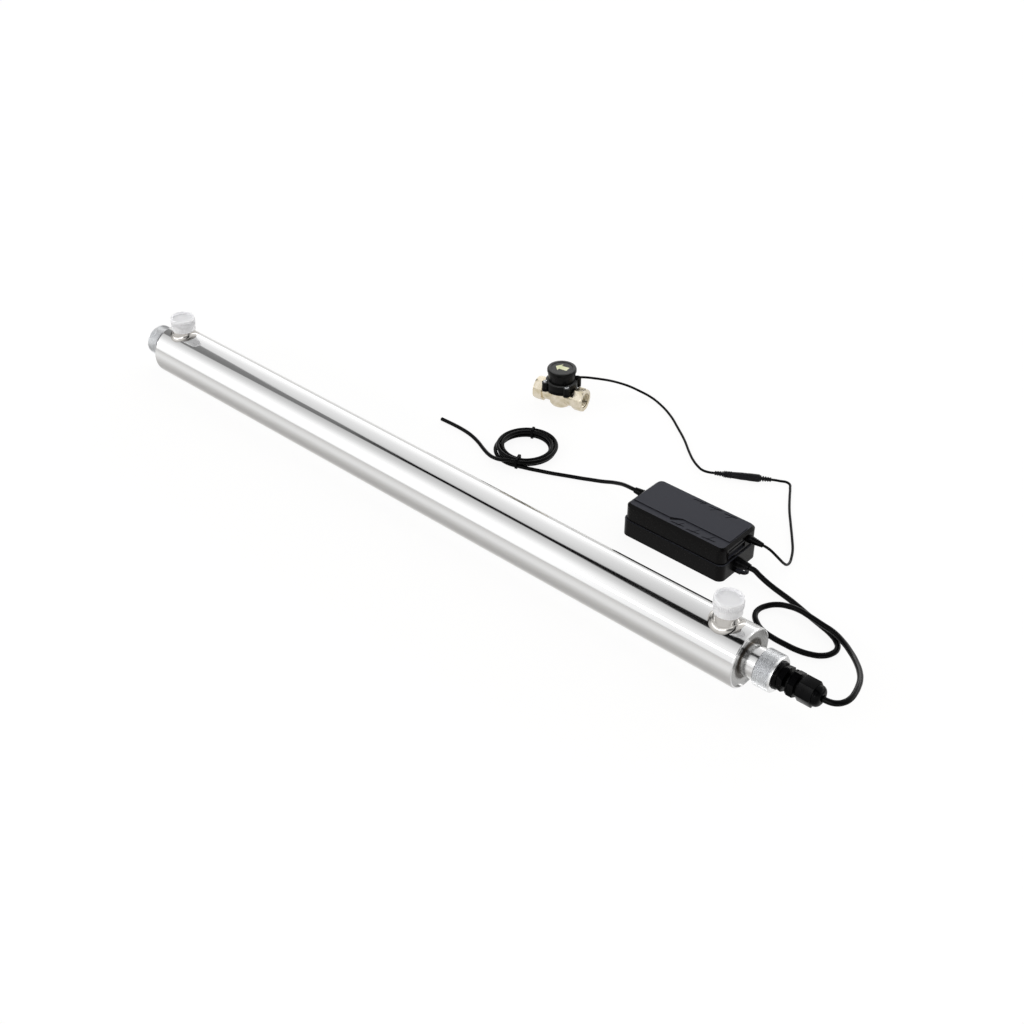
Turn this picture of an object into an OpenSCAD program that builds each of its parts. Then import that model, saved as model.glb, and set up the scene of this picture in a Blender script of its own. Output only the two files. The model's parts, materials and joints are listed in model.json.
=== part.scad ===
// Tube-type ultraviolet water clarifier: a stainless chamber with a lamp in a quartz sleeve,
// its ballast, its flow switch and their cords. Sizes are millimetres. The chamber lies along X
// with the lamp end towards +X, the surface it lies on is z = 0, and x = 0 is its middle.

/* [Chamber] */
// Outside diameter of the chamber tube
tube_d = 63.5; // [56:0.5:90]
// Wall of the chamber tube
tube_wall = 2; // [1.5:0.1:4]
// Length of the chamber tube
tube_l = 875; // [800:1:950]
// Rounding of the tube's outer end edges
rim_r = 1.6; // [0.5:0.1:3]
// Depth of each end plate inside the rim
plate_inset = 1.5; // [0.5:0.1:4]
// Thickness of each end plate
plate_t = 3; // [2:0.1:6]
// Width of the weld bead where a nipple meets its end plate
weld_w = 1.4; // [1:0.1:4]

/* [Ports] */
// Distance from the far tube end to the inlet
inlet_inset = 25.5; // [22:0.5:60]
// Distance from the lamp tube end to the outlet
outlet_inset = 29.5; // [22:0.5:60]
// Outside diameter of each port
port_d = 26.7; // [22:0.1:32]
// Bore of each port
port_bore = 20.8; // [14:0.1:21.5]
// Straight length of each port above its fillet
port_neck = 12.5; // [10:0.5:30]
// Radius of the fillet where each port meets the tube
port_fillet = 4.5; // [2:0.1:7]

/* [Caps] */
// Wall of a cap's skirt at its open end
cap_wall = 0.8; // [0.6:0.1:2]
// Growth of a cap's radius from its open end to its top
cap_taper = 0.4; // [0:0.1:2]
// Depth of the dish in a cap's top
cap_dish = 3; // [1:0.1:6]
// Thickness of a cap's floor
cap_floor = 1.4; // [0.8:0.1:3]
// Gap between the inlet port's end and its cap
inlet_cap_gap = 0.2; // [0.1:0.1:6]
// Gap between the outlet port's end and its cap, which is pushed on less far
outlet_cap_gap = 6; // [0.1:0.1:8]

/* [End fittings] */
// Outside diameter of each nipple
nipple_d = 33.2; // [31:0.1:38]
// Length of each nipple outside the tube
nipple_l = 27; // [24:0.5:36]
// Length of each nipple inside its end plate
nipple_tail = 4; // [2:0.5:10]
// Wall of each gland nut over its thread
nut_wall = 1.8; // [1.2:0.1:4]
// Length of each gland nut
nut_l = 19; // [16:0.5:26]
// Thickness of each gland nut's front
nut_lip = 3.3; // [2:0.1:6]
// Chamfer on each gland nut's edges
nut_chamfer = 0.8; // [0.3:0.1:1.5]
// Section of each sleeve seal ring
seal_section = 2.4; // [1.8:0.1:3]
// Thickness of each thrust ring's flange
ring_flange = 1.8; // [1:0.1:4]
// Thickness of each slip washer
washer_t = 0.6; // [0.4:0.1:2]

/* [Lamp] */
// Outside diameter of the quartz sleeve
sleeve_d = 23; // [20:0.1:24]
// Wall of the quartz sleeve
sleeve_wall = 1.5; // [1:0.1:2]
// Diameter of the lamp's glass
lamp_d = 15.5; // [12:0.1:16]
// Distance from the far tube end in to the lamp's far end
lamp_inset = 30; // [20:1:110]
// Length of each lamp base
lamp_base_l = 14; // [8:0.5:25]
// Diameter of the lamp's pins
pin_d = 2.3; // [1.5:0.1:3]
// Length of the lamp's pins
pin_l = 8; // [5:0.5:10]
// Circle on which the lamp's pins stand
pin_circle = 10; // [8:0.1:11]

/* [Cable gland] */
// Diameter of the plug's flange
plug_d = 28.3; // [26:0.1:29]
// Thickness of the plug's flange
plug_flange = 7.4; // [5:0.1:12]
// Diameter of the gland's thread
gland_thread_d = 16; // [14:0.1:18]
// Width across the flats of the lock nut and of the gland's hexagon
gland_flats = 24; // [22:0.1:25]
// Thickness of the lock nut
lock_nut_t = 6; // [4:0.1:8]
// Free thread between the lock nut and the washer
gland_gap = 4; // [2:0.1:10]
// Thickness of the gland's hexagon
gland_hex_t = 6.5; // [4:0.1:10]
// Length of the neck under the dome nut
gland_neck_l = 10; // [8:0.5:14]
// Length of the dome nut
dome_l = 22.5; // [20:0.5:30]
// Diameter of the dome nut over its ribs
dome_d = 27; // [24:0.1:30]

/* [Ballast] */
// Length of the ballast's base
ballast_l = 131; // [110:0.5:145]
// Width of the ballast's base
ballast_w = 66; // [56:1:80]
// Height of the ballast's base
base_h = 20; // [18:0.5:26]
// Height of the ballast's cover
cover_h = 21; // [18:0.5:26]
// Step from the base's side in to the cover's side
cover_step = 1.5; // [0.5:0.1:3]
// Radius of the ballast's upright corners
ballast_corner = 8; // [6:0.5:12]
// Wall of the ballast's base and cover
ballast_wall = 2.4; // [1.5:0.1:3.5]
// Chamfer round the cover's top
cover_chamfer = 3; // [1.5:0.1:5]
// Rise of the panel on the cover's top
panel_rise = 0.9; // [0.4:0.1:2]
// Thickness of the mounting lugs
lug_t = 3; // [2:0.1:5]
// Reach of the mounting lugs
lug_l = 12; // [11:0.5:20]
// Diameter of the lugs' screw holes
lug_hole = 4.5; // [3:0.1:6]

/* [Flow switch] */
// Length of the flow switch's body
flow_l = 66; // [60:0.2:90]
// Width across the flats of the body's ends
flow_flats = 27; // [26:0.5:40]
// Length of each end
flow_end_l = 11.5; // [10:0.5:13]
// Bore of the body
flow_bore = 15; // [10:0.5:17]
// Minor diameter of the threads in the ends
flow_thread = 18.6; // [18:0.1:22]
// Depth of the threads in the ends
flow_thread_l = 11; // [8:0.5:12]
// Diameter of the body's upright barrel
barrel_d = 28; // [27:0.5:30]
// Height of the barrel's top
barrel_h = 27; // [26.5:0.5:36]
// Diameter of the cover's waist
switch_d = 32; // [30:0.1:38]
// Height of the cover above the barrel
switch_h = 23.5; // [20:0.5:30]
// Diameter of the paddle's pin
paddle_pin_d = 2.4; // [1.6:0.1:3]
// Farthest swing of the paddle
paddle_swing = 35; // [20:1:40]

/* [Cords] */
// Diameter of the lamp cord
lamp_cord_d = 6; // [5:0.1:7]
// Diameter of the mains cord
mains_cord_d = 4.6; // [4:0.1:5]
// Diameter of the sensor cord
sensor_cord_d = 3; // [2.4:0.1:3.6]
// Turns in the mains cord's coil
coil_turns = 4; // [4:1:5]
// Radius of the coil's outer turn
coil_r = 37; // [34:0.1:40]
// Gap between neighbouring turns
coil_gap = 0.5; // [0.45:0.05:1]
// Thickness of a cable tie
tie_t = 1; // [0.6:0.1:1.5]
// Width of a cable tie
tie_w = 2.6; // [2:0.1:4]

/* [Hidden] */
$fn = 64;

// Clearances: between fixed pieces, round sliding and turning pieces, and between free pieces
seat = 0.05;
running = 0.08;
free = 0.35;

// Chamber places
tube_r = tube_d / 2;
axis_z = tube_r;
tube_end = tube_l / 2;
inner_r = tube_r - tube_wall;
rim = min(rim_r, tube_wall - 0.2);
inlet_x = -tube_end + inlet_inset;
outlet_x = tube_end - outlet_inset;
port_r = port_d / 2;
port_top = tube_d + port_fillet + port_neck;

// Cap sizes, from the port that it covers
cap_bore_r = port_r + running;
cap_depth = port_neck - 0.4;
cap_h = cap_depth + cap_floor + cap_dish;
cap_foot_r = cap_bore_r + cap_wall;
cap_top_r = cap_foot_r + cap_taper;

// End fittings, measured outwards from the tube's end
nipple_r = nipple_d / 2;
sleeve_r = sleeve_d / 2;
sleeve_bore_r = sleeve_r - sleeve_wall;
nipple_bore_r = sleeve_r + free;
seal_pocket_r = sleeve_r + seal_section + 2 * seat;
seal_pocket_l = 6;
seal_at = nipple_l - seal_pocket_l + seat + seal_section / 2;
ring_from = nipple_l + 4 * seat;
ring_to = ring_from + ring_flange;
washer_from = ring_to + seat;
washer_to = washer_from + washer_t;
lip_from = washer_to + seat;
nut_front = lip_from + nut_lip;
nut_bore_r = nipple_r + running;
nut_r = nut_bore_r + nut_wall;
plug_r = plug_d / 2;
mouth_r = plug_r + free;
sleeve_out = nipple_l + 0.5;

// Lamp places, measured outwards from the lamp end of the tube
lamp_out = -2;
lamp_far_x = -tube_end + lamp_inset;
lamp_base_r = sleeve_bore_r - free;
socket_to = 13.9;
plug_from = socket_to + seat;
plug_to = ring_to + seat + plug_flange;

// Cable gland places, measured along the gland from the plug's outer face
gland_thread_r = gland_thread_d / 2;
gland_sunk = 6.5;
lock_nut_to = seat + lock_nut_t;
gland_washer_t = 1.4;
gland_washer_r = gland_flats / 2 + 0.8;
gland_washer_from = lock_nut_to + gland_gap;
gland_hex_from = gland_washer_from + gland_washer_t + seat;
gland_hex_to = gland_hex_from + gland_hex_t;
gland_neck_r = 9.4;
gland_neck_to = gland_hex_to + gland_neck_l;
dome_from = gland_hex_to + 3;
dome_to = dome_from + dome_l;
dome_r = dome_d / 2;
dome_nose_r = 6.8;
dome_nose_l = 7;
gland_bore_r = lamp_cord_d / 2 + free;
gland_seal_r = 6.9;
gland_seal_to = dome_to - dome_nose_l;
gland_from = tube_end + plug_to;

// Ballast places
ballast_at = [266, 140];
ballast_h = base_h + cover_h;
cover_l = ballast_l - 2 * cover_step;
cover_w = ballast_w - 2 * cover_step;
ballast_near = ballast_l / 2;
boss_r = 3.6;
boss_in = 8.5;
screw_r = 1.5;
screw_head_r = 2.8;
screw_head_h = 1.8;
board_z = 7;
board_t = 1.6;
board_l = ballast_l - 2 * ballast_wall - 12;
board_w = ballast_w - 2 * ballast_wall - 8;
strip_w = 11;
panel_jog = 6;
slash_l = 15;
slash_depth = 0.6;
window_w = 30;
window_y = -5.5;
window_z0 = base_h + 4;
window_z1 = base_h + 15;
panel_lap = 1.5;
panel_t = 2;
lug_w = 14;
lug_hole_at = ballast_l / 2 + lug_l - 5.5;

// Cord boots: root radius, length and number of ribs, and where each leaves the ballast
boot_wall = 1.6;
boot_ribs = 5;
boot_root = ballast_wall + 0.4;
mains_boot_l = 18;
lamp_boot_l = 15;
sensor_boot_l = 16.5;
lamp_boot_at = [ballast_near, -4, base_h * 0.6];
mains_boot_at = [-cover_l / 2, 11, base_h + 5.8];
sensor_boot_at = [cover_l / 2, 17, base_h + 9.5];

// Flow switch places
flow_at = [-21, 266.5];
flow_turn = 12;
flow_z = flow_flats / 2;
flow_bore_r = flow_bore / 2;
flow_thread_r = flow_thread / 2;
barrel_r = barrel_d / 2;
flow_neck_r = 11.5;
flow_foot = 0.6;
chamber_r = 11;
chamber_floor = flow_z - flow_bore_r - 1.5;
clamp_r = barrel_r + 5.6;
clamp_t = 4;
clamp_top = barrel_h - 1.3;
switch_lug_r = 4.2;
switch_lug_at = clamp_r + 1.1;
switch_lug_h = 7.6;
gasket_t = 1.5;
switch_floor = barrel_h + gasket_t + 2 * seat;
switch_top = barrel_h + switch_h;
switch_r = switch_d / 2;
switch_brim_r = switch_r + 2;
switch_brim_t = 5;
switch_dish = 0.6;
switch_wall = 2;
switch_screw_r = 1.4;
switch_screw_head_r = 2.6;
flow_boot_r = sensor_cord_d / 2 + 0.9;
flow_boot_root = 3;
flow_boot_l = 6;
paddle_pin_r = paddle_pin_d / 2;
paddle_pin_z = barrel_h - 5;
paddle_pin_l = 2 * chamber_r + 4;
paddle_w = 11;
paddle_t = 1.6;
paddle_hub_r = paddle_pin_r + 1.5;
paddle_foot = flow_z - flow_bore_r + 1.5;
magnet_r = 2.6;
magnet_t = 2.4;
magnet_z = paddle_pin_z - 8;
flow_cord_turn = 33;
flow_cord_z = clamp_top + switch_lug_h + flow_boot_r + 0.2;

// Sensor connector, lying on the surface beside the ballast
connector_at = [240.5, 279];
connector_turn = 30;
connector_r = 4.5;
connector_waist_r = 3.2;
connector_half = 32;
connector_boot_l = 11;

// Cord routes, as chosen points
lamp_z = lamp_cord_d / 2 + 0.1;
mains_z = mains_cord_d / 2 + 0.1;
sensor_z = sensor_cord_d / 2 + 0.1;
lamp_route = [
    [360, 135.4, 9.2], [369, 134.8, 6.2], [379, 134, 4], [390, 132.4, lamp_z], [402, 129.7, lamp_z],
    [416, 125.7, lamp_z], [431, 121, lamp_z], [446, 116.7, lamp_z], [459, 112.5, lamp_z],
    [470, 106.3, lamp_z], [476.5, 98, lamp_z], [476.5, 88, lamp_z], [471, 79, lamp_z],
    [461, 73, lamp_z], [449, 69.8, lamp_z], [435, 69, lamp_z], [421, 69.3, lamp_z],
    [407, 71.8, lamp_z], [396, 78, lamp_z], [388.5, 86, lamp_z], [386, 95, lamp_z],
    [389, 105, 3.6], [397, 113, 5], [409, 116.4, 7], [421, 116.1, 9], [434, 114, 9.8],
    [449, 111.7, 9.8], [464, 109.3, 9.8], [479, 102.6, 10.2], [494.4, 90.8, 13.2], [508.8, 75.9, 18.5],
    [519.5, 62.3, 23], [527, 49.5, 26.6], [531.5, 38, 29], [534.5, 27, 30.6], [535.8, 17.5, 31.5],
    [534.3, 9, 31.8], [529.8, 2.8, 31.8]
];
mains_route = [
    [172, 153, 24], [162, 156.4, 20.4], [152.6, 159, 16.2], [144, 160.7, 12.4], [130, 160.8, 7],
    [116.6, 159, 3.8], [104.5, 155, mains_z], [93.5, 149.9, mains_z], [82.5, 144.6, mains_z],
    [71, 139.2, mains_z], [60.5, 134.6, 2.6], [50, 129.7, 3]
];
mains_end_route = [
    [15.5, 116.6, 7], [5, 116.6, 4.8], [-6, 119.2, 3], [-20, 124.6, mains_z], [-34, 130.8, mains_z],
    [-48, 135.4, mains_z], [-62, 138, mains_z], [-76, 138.9, mains_z], [-89, 138.9, mains_z],
    [-102, 138.5, mains_z]
];
sensor_route = [
    [1.5, 288.4, 35.6], [7, 294.6, 34], [12, 302.4, 31.2], [17, 313.5, 26.2], [22.6, 327, 18.8],
    [30, 338, 12], [40, 345.6, 6], [54, 348.4, 2.6], [74, 343.4, sensor_z], [99, 331, sensor_z],
    [122, 315, sensor_z], [143.5, 299, sensor_z], [163, 282, sensor_z], [176, 271.6, 1.9],
    [188, 263.8, 2.9], [199, 259, 4]
];
pigtail_route = [
    [276.6, 302.6, 2.4], [282, 306.2, sensor_z], [286.8, 305, sensor_z], [291.4, 299, sensor_z],
    [300, 285, sensor_z], [314, 263, sensor_z], [330, 241, sensor_z], [346.5, 218.5, sensor_z],
    [356.5, 204, sensor_z], [362.6, 192.4, sensor_z], [366.4, 183, 1.9], [367.6, 175, 4.4],
    [367, 168.6, 10], [364.6, 163.4, 17], [360.6, 159.6, 23.4], [356, 157.6, 27.6]
];

// Coil of the mains cord: it spirals in on the lower layer, climbs, and spirals out on the upper
coil_at = [18.5, 156.7];
coil_from = -70;
coil_step = mains_cord_d + coil_gap;
coil_z = tie_t + 0.3 + mains_cord_d / 2;
coil_rings = 24;
coil_sides = 6;
tie_angles = [-66, 117];

// Plain vector helpers
function unit(v) = v / norm(v);
function on_floor(at, angle, r, z) = [at[0] + r * cos(angle), at[1] + r * sin(angle), z];

// Directions of a route: along its own ends, and midway between its two stretches elsewhere
function heading(route, i) =
    i == 0 ? unit(route[1] - route[0])
    : i == len(route) - 1 ? unit(route[i] - route[i - 1])
    : unit(unit(route[i] - route[i - 1]) + unit(route[i + 1] - route[i]));
function ring(at, along, r, sides) =
    let (side = unit(cross(along, [0, 0, 1])), up = cross(side, along))
    [for (k = [0 : sides - 1]) at + r * (cos(360 * k / sides) * side + sin(360 * k / sides) * up)];

// A round cord swept along a route
module cord(route, d, sides) {
    rings = len(route);
    points = [for (i = [0 : rings - 1]) each ring(route[i], heading(route, i), d / 2, sides)];
    skin = [for (i = [0 : rings - 2], k = [0 : sides - 1])
        let (a = i * sides + k, b = i * sides + (k + 1) % sides)
        each [[a, a + sides, b], [b, a + sides, b + sides]]];
    first_cap = [for (k = [1 : sides - 2]) [0, k, k + 1]];
    last = (rings - 1) * sides;
    last_cap = [for (k = [1 : sides - 2]) [last, last + k + 1, last + k]];
    polyhedron(points, concat(skin, first_cap, last_cap));
}

// The coil's radius, height and place after a number of turns
function coil_depth(turn) = min(turn, coil_turns - turn);
function coil_layer(turn) =
    let (t = max(0, min(1, (turn - coil_turns / 2) * 2 + 0.5))) t * t * (3 - 2 * t);
function coil_point(turn) = on_floor(coil_at, coil_from - 360 * turn,
    coil_r - coil_step * coil_depth(turn), coil_z + coil_step * coil_layer(turn));
coil_heading = [sin(coil_from), -cos(coil_from), 0];
coil_first = coil_point(0) - mains_cord_d * coil_heading;
coil_last = coil_point(coil_turns) + mains_cord_d * coil_heading;
coil_route = concat([coil_first],
    [for (i = [0 : coil_rings * coil_turns]) coil_point(i / coil_rings)], [coil_last]);

// Least distance between turns, less the cord: points at least half a turn apart are compared
coil_apart = coil_rings / 2;
coil_clear = min([for (i = [0 : len(coil_route) - 1], j = [i + coil_apart : 1 : len(coil_route) - 1])
    norm(coil_route[i] - coil_route[j])]) - mains_cord_d;
echo(coil_least_gap = coil_clear);

// Places along the gland, on the ballast, and round the flow switch and connector
function gland_place(u) = [gland_from + u, 0, axis_z];
function ballast_place(p) = [ballast_at[0] + p[0], ballast_at[1] + p[1], p[2]];
flow_cord_angle = flow_turn + flow_cord_turn;
function flow_cord_place(u) = on_floor(flow_at, flow_cord_angle, u, flow_cord_z);
function connector_place(u) = on_floor(connector_at, connector_turn, u, connector_r);

lamp_cord_points = concat(
    [for (u = [seat, lamp_cord_d]) ballast_place(lamp_boot_at) + [lamp_boot_l + u, 0, 0]], lamp_route,
    [for (u = [dome_to + lamp_cord_d, gland_seal_to + 4 * seat]) gland_place(u)]);
mains_cord_points = concat(
    [for (u = [seat, mains_cord_d]) ballast_place(mains_boot_at) - [mains_boot_l + u, 0, 0]],
    mains_route, [coil_first - mains_cord_d * coil_heading, coil_first - seat * coil_heading]);
mains_end_points = concat(
    [coil_last + seat * coil_heading, coil_last + mains_cord_d * coil_heading], mains_end_route);
sensor_cord_points = concat(
    [for (u = [seat, sensor_cord_d]) flow_cord_place(switch_r + flow_boot_l + u)], sensor_route,
    [for (u = [2 * sensor_cord_d, seat]) connector_place(-connector_half - u)]);
pigtail_points = concat(
    [for (u = [seat, sensor_cord_d]) connector_place(connector_half + u)], pigtail_route,
    [for (u = [sensor_cord_d, seat]) ballast_place(sensor_boot_at) + [sensor_boot_l + u, 0, 0]]);

// Shapes used more than once
module along_x() rotate([0, 90, 0]) children();
module at_end(side) {
    // Places a fitting drawn outwards along +X on the lamp end (1) or the far end (-1)
    translate([side * tube_end, 0, axis_z]) mirror([side < 0 ? 1 : 0, 0, 0]) children();
}
module on_gland() translate([gland_from, 0, axis_z]) children();
module on_ballast() translate([ballast_at[0], ballast_at[1], 0]) children();
module on_flow() translate([flow_at[0], flow_at[1], 0]) rotate([0, 0, flow_turn]) children();
module tube_x(x0, x1, r_out, r_in) {
    // Hollow cylinder along X
    translate([x0, 0, 0]) along_x() difference() {
        cylinder(r = r_out, h = x1 - x0);
        translate([0, 0, -1]) cylinder(r = r_in, h = x1 - x0 + 2);
    }
}
module rod_x(x0, x1, r) translate([x0, 0, 0]) along_x() cylinder(r = r, h = x1 - x0);
module rounded_box(l, w, r) {
    // Flat rectangle with round corners, centred
    square([l - 2 * r, w], center = true);
    square([l, w - 2 * r], center = true);
    for (sx = [-1, 1], sy = [-1, 1])
        translate([sx * (l / 2 - r), sy * (w / 2 - r)]) circle(r);
}
module hexagon(flats) circle(d = flats / cos(30), $fn = 6);
module at_corners() {
    // The ballast's four screw places
    for (sx = [-1, 1], sy = [-1, 1])
        translate([sx * (cover_l / 2 - boss_in), sy * (cover_w / 2 - boss_in), 0]) children();
}
module at_switch_lugs() for (k = [0 : 3]) rotate([0, 0, 45 + 90 * k])
    translate([switch_lug_at, 0, 0]) children();

// Ribbed, tapering boot along +X: a root that fills its hole, a collar and a row of ribs
module boot(cord_d, length, root_l, ribs) {
    foot_r = cord_d / 2 + boot_wall + 1;
    tip_r = cord_d / 2 + boot_wall - 0.4;
    collar_l = length * 0.3;
    pitch = (length - collar_l) / ribs;
    rib_l = pitch * 0.62;
    along_x() {
        translate([0, 0, -root_l]) cylinder(r = foot_r - 0.6, h = root_l);
        cylinder(r1 = foot_r + 0.4, r2 = foot_r, h = collar_l);
        translate([0, 0, collar_l]) cylinder(r1 = foot_r - 0.9, r2 = tip_r - 0.5, h = length - collar_l);
        for (k = [0 : ribs - 1]) {
            r = foot_r + (tip_r - foot_r) * (k + 1) / ribs;
            translate([0, 0, collar_l + pitch * (k + 1) - rib_l]) cylinder(r = r, h = rib_l);
        }
    }
}
function boot_hole_r(cord_d) = cord_d / 2 + boot_wall + 0.4 + seat;

// Chamber
module chamber_tube() color("gainsboro") {
    arc = [for (a = [0 : 15 : 90]) [tube_r - rim + rim * cos(a), tube_end - rim + rim * sin(a)]];
    upper = concat([[tube_r, 0]], arc, [[inner_r, tube_end]]);
    lower = [for (i = [len(upper) - 1 : -1 : 0]) [upper[i][0], -upper[i][1]]];
    difference() {
        translate([0, 0, axis_z]) along_x() rotate_extrude() polygon(concat(upper, lower));
        for (x = [inlet_x, outlet_x]) translate([x, 0, axis_z]) cylinder(d = port_bore, h = tube_d);
    }
}
module end_plate(side) at_end(side) {
    tube_x(-plate_inset - plate_t, -plate_inset, inner_r - seat, nipple_r + seat);
    translate([-plate_inset, 0, 0]) along_x() difference() {
        cylinder(r1 = nipple_r + weld_w, r2 = nipple_r + 0.4, h = weld_w * 0.7);
        translate([0, 0, -1]) cylinder(r = nipple_r + seat, h = weld_w + 2);
    }
}
module far_end_plate() color("silver") end_plate(-1);
module near_end_plate() color("silver") end_plate(1);

// Port: a neck with a fillet, seated on the tube's crown
module port(x) {
    fillet_top = tube_d + port_fillet;
    foot_r = port_r + port_fillet;
    difference() {
        translate([x, 0, 0]) union() {
            translate([0, 0, axis_z]) cylinder(r = port_r, h = port_top - axis_z);
            rotate_extrude() difference() {
                translate([0, axis_z]) square([foot_r, fillet_top - axis_z]);
                translate([foot_r, fillet_top]) circle(port_fillet);
            }
        }
        translate([-tube_end, 0, axis_z]) along_x() cylinder(r = tube_r + seat, h = tube_l);
        translate([x, 0, 0]) cylinder(d = port_bore, h = port_top + 1);
    }
}
module inlet_port() color("silver") port(inlet_x);
module outlet_port() color("silver") port(outlet_x);

// Cap: a tapering skirt and a dished top
module cap(x, gap) translate([x, 0, port_top + gap - cap_depth])
    rotate_extrude() polygon([
        [cap_bore_r, 0], [cap_foot_r, 0], [cap_top_r, cap_h - 0.6], [cap_top_r - 0.6, cap_h],
        [cap_top_r - cap_wall - 0.8, cap_h], [cap_top_r - cap_wall - 1.6, cap_depth + cap_floor],
        [0, cap_depth + cap_floor], [0, cap_depth], [cap_bore_r, cap_depth]]);
module inlet_cap() color("white") cap(inlet_x, inlet_cap_gap);
module outlet_cap() color("white") cap(outlet_x, outlet_cap_gap);

// End fittings
module nipple(side) at_end(side) difference() {
    rod_x(-plate_inset - plate_t - nipple_tail, nipple_l, nipple_r);
    rod_x(-plate_inset - plate_t - nipple_tail - 1, nipple_l + 1, nipple_bore_r);
    rod_x(nipple_l - seal_pocket_l, nipple_l + 1, seal_pocket_r);
}
module far_nipple() color("silver") nipple(-1);
module near_nipple() color("silver") nipple(1);
module seal_ring(side) at_end(side) translate([seal_at, 0, 0]) along_x() rotate_extrude()
    translate([sleeve_r + seat + seal_section / 2, 0]) circle(d = seal_section);
module far_seal_ring() color("dimgray") seal_ring(-1);
module near_seal_ring() color("dimgray") seal_ring(1);
module thrust_ring(side) at_end(side) {
    nose_from = seal_at + seal_section / 2 + seat;
    difference() {
        union() {
            rod_x(nose_from, ring_to, seal_pocket_r - 4 * seat);
            rod_x(ring_from, ring_to, nipple_r - 0.3);
        }
        rod_x(nose_from - 1, ring_to + 1, nipple_bore_r);
    }
}
module far_thrust_ring() color("ivory") thrust_ring(-1);
module near_thrust_ring() color("ivory") thrust_ring(1);
module slip_washer(side) at_end(side)
    tube_x(washer_from, washer_to, nipple_r - 0.1, mouth_r + 0.1);
module far_slip_washer() color("snow") slip_washer(-1);
module near_slip_washer() color("snow") slip_washer(1);

// Gland nut: a knurled skirt over the nipple's thread, with an open or a blind front
module gland_nut(side, opening) at_end(side) difference() {
    translate([nut_front - nut_l, 0, 0]) along_x() rotate_extrude() polygon([
        [0, 0], [nut_r - nut_chamfer, 0], [nut_r, nut_chamfer], [nut_r, nut_l - 2 * nut_chamfer],
        [nut_r - nut_chamfer, nut_l - nut_chamfer], [nut_r - nut_chamfer, nut_l], [0, nut_l]]);
    rod_x(nut_front - nut_l - 1, lip_from, nut_bore_r);
    if (opening) rod_x(lip_from - 1, nut_front + 1, mouth_r);
}
module far_gland_nut() color("lightgray") gland_nut(-1, false);
module near_gland_nut() color("lightgray") gland_nut(1, true);

// Lamp
module quartz_sleeve() color("aliceblue") translate([0, 0, axis_z])
    tube_x(-tube_end - sleeve_out, tube_end + sleeve_out, sleeve_r, sleeve_bore_r);
module lamp_glass() color("azure") translate([0, 0, axis_z])
    tube_x(lamp_far_x + lamp_base_l + seat, tube_end + lamp_out - lamp_base_l - seat,
        lamp_d / 2, lamp_d / 2 - 0.8);
module lamp_base() {
    // Ceramic base along +X with a bevelled outer edge
    along_x() {
        cylinder(r = lamp_base_r, h = lamp_base_l - 1);
        translate([0, 0, lamp_base_l - 1]) cylinder(r1 = lamp_base_r, r2 = lamp_base_r - 1, h = 1);
    }
}
module far_lamp_base() color("white") translate([lamp_far_x + lamp_base_l, 0, axis_z])
    mirror([1, 0, 0]) lamp_base();
module near_lamp_base() color("white") at_end(1) translate([lamp_out - lamp_base_l, 0, 0]) lamp_base();
module at_pins() for (k = [0 : 3]) rotate([45 + 90 * k, 0, 0])
    translate([0, pin_circle / 2, 0]) children();
module lamp_pins() color("goldenrod") at_end(1) at_pins()
    rod_x(lamp_out + seat, lamp_out + pin_l, pin_d / 2);
module lamp_socket() color("whitesmoke") at_end(1) difference() {
    rod_x(lamp_out + 0.4, socket_to, lamp_base_r);
    at_pins() rod_x(lamp_out, lamp_out + pin_l + 1, pin_d / 2 + seat);
}

// Plug that closes the sleeve's mouth and carries the cable gland
module lamp_plug() color("black") difference() {
    at_end(1) union() {
        rod_x(plug_from, plug_to, lamp_base_r);
        rod_x(ring_to + seat, plug_to - 1, plug_r);
        translate([plug_to - 1, 0, 0]) along_x() cylinder(r1 = plug_r, r2 = plug_r - 1, h = 1);
    }
    on_gland() rod_x(-gland_sunk - seat, 10, gland_thread_r + seat);
    at_end(1) rod_x(plug_from - 1, plug_to, lamp_cord_d / 2);
}
module gland_lock_nut() color("black") on_gland() difference() {
    translate([seat, 0, 0]) along_x() intersection() {
        linear_extrude(lock_nut_t) hexagon(gland_flats);
        cylinder(r1 = gland_flats / 2 + 0.8, r2 = gland_flats / 2 + 2, h = lock_nut_t);
    }
    rod_x(-1, lock_nut_to + 1, gland_thread_r + seat);
}
module gland_washer() color("black") on_gland()
    tube_x(gland_washer_from, gland_washer_from + gland_washer_t, gland_washer_r, gland_thread_r + seat);
module gland_body() color("black") on_gland() difference() {
    union() {
        rod_x(-gland_sunk, gland_hex_from + 1, gland_thread_r);
        translate([gland_hex_from, 0, 0]) along_x() linear_extrude(gland_hex_t) hexagon(gland_flats);
        rod_x(gland_hex_to - 1, gland_neck_to, gland_neck_r);
    }
    rod_x(-gland_sunk - 1, gland_neck_to + 1, gland_bore_r);
}
module gland_seal() color("dimgray") on_gland()
    tube_x(gland_neck_to + seat, gland_seal_to, gland_seal_r, lamp_cord_d / 2);
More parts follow.
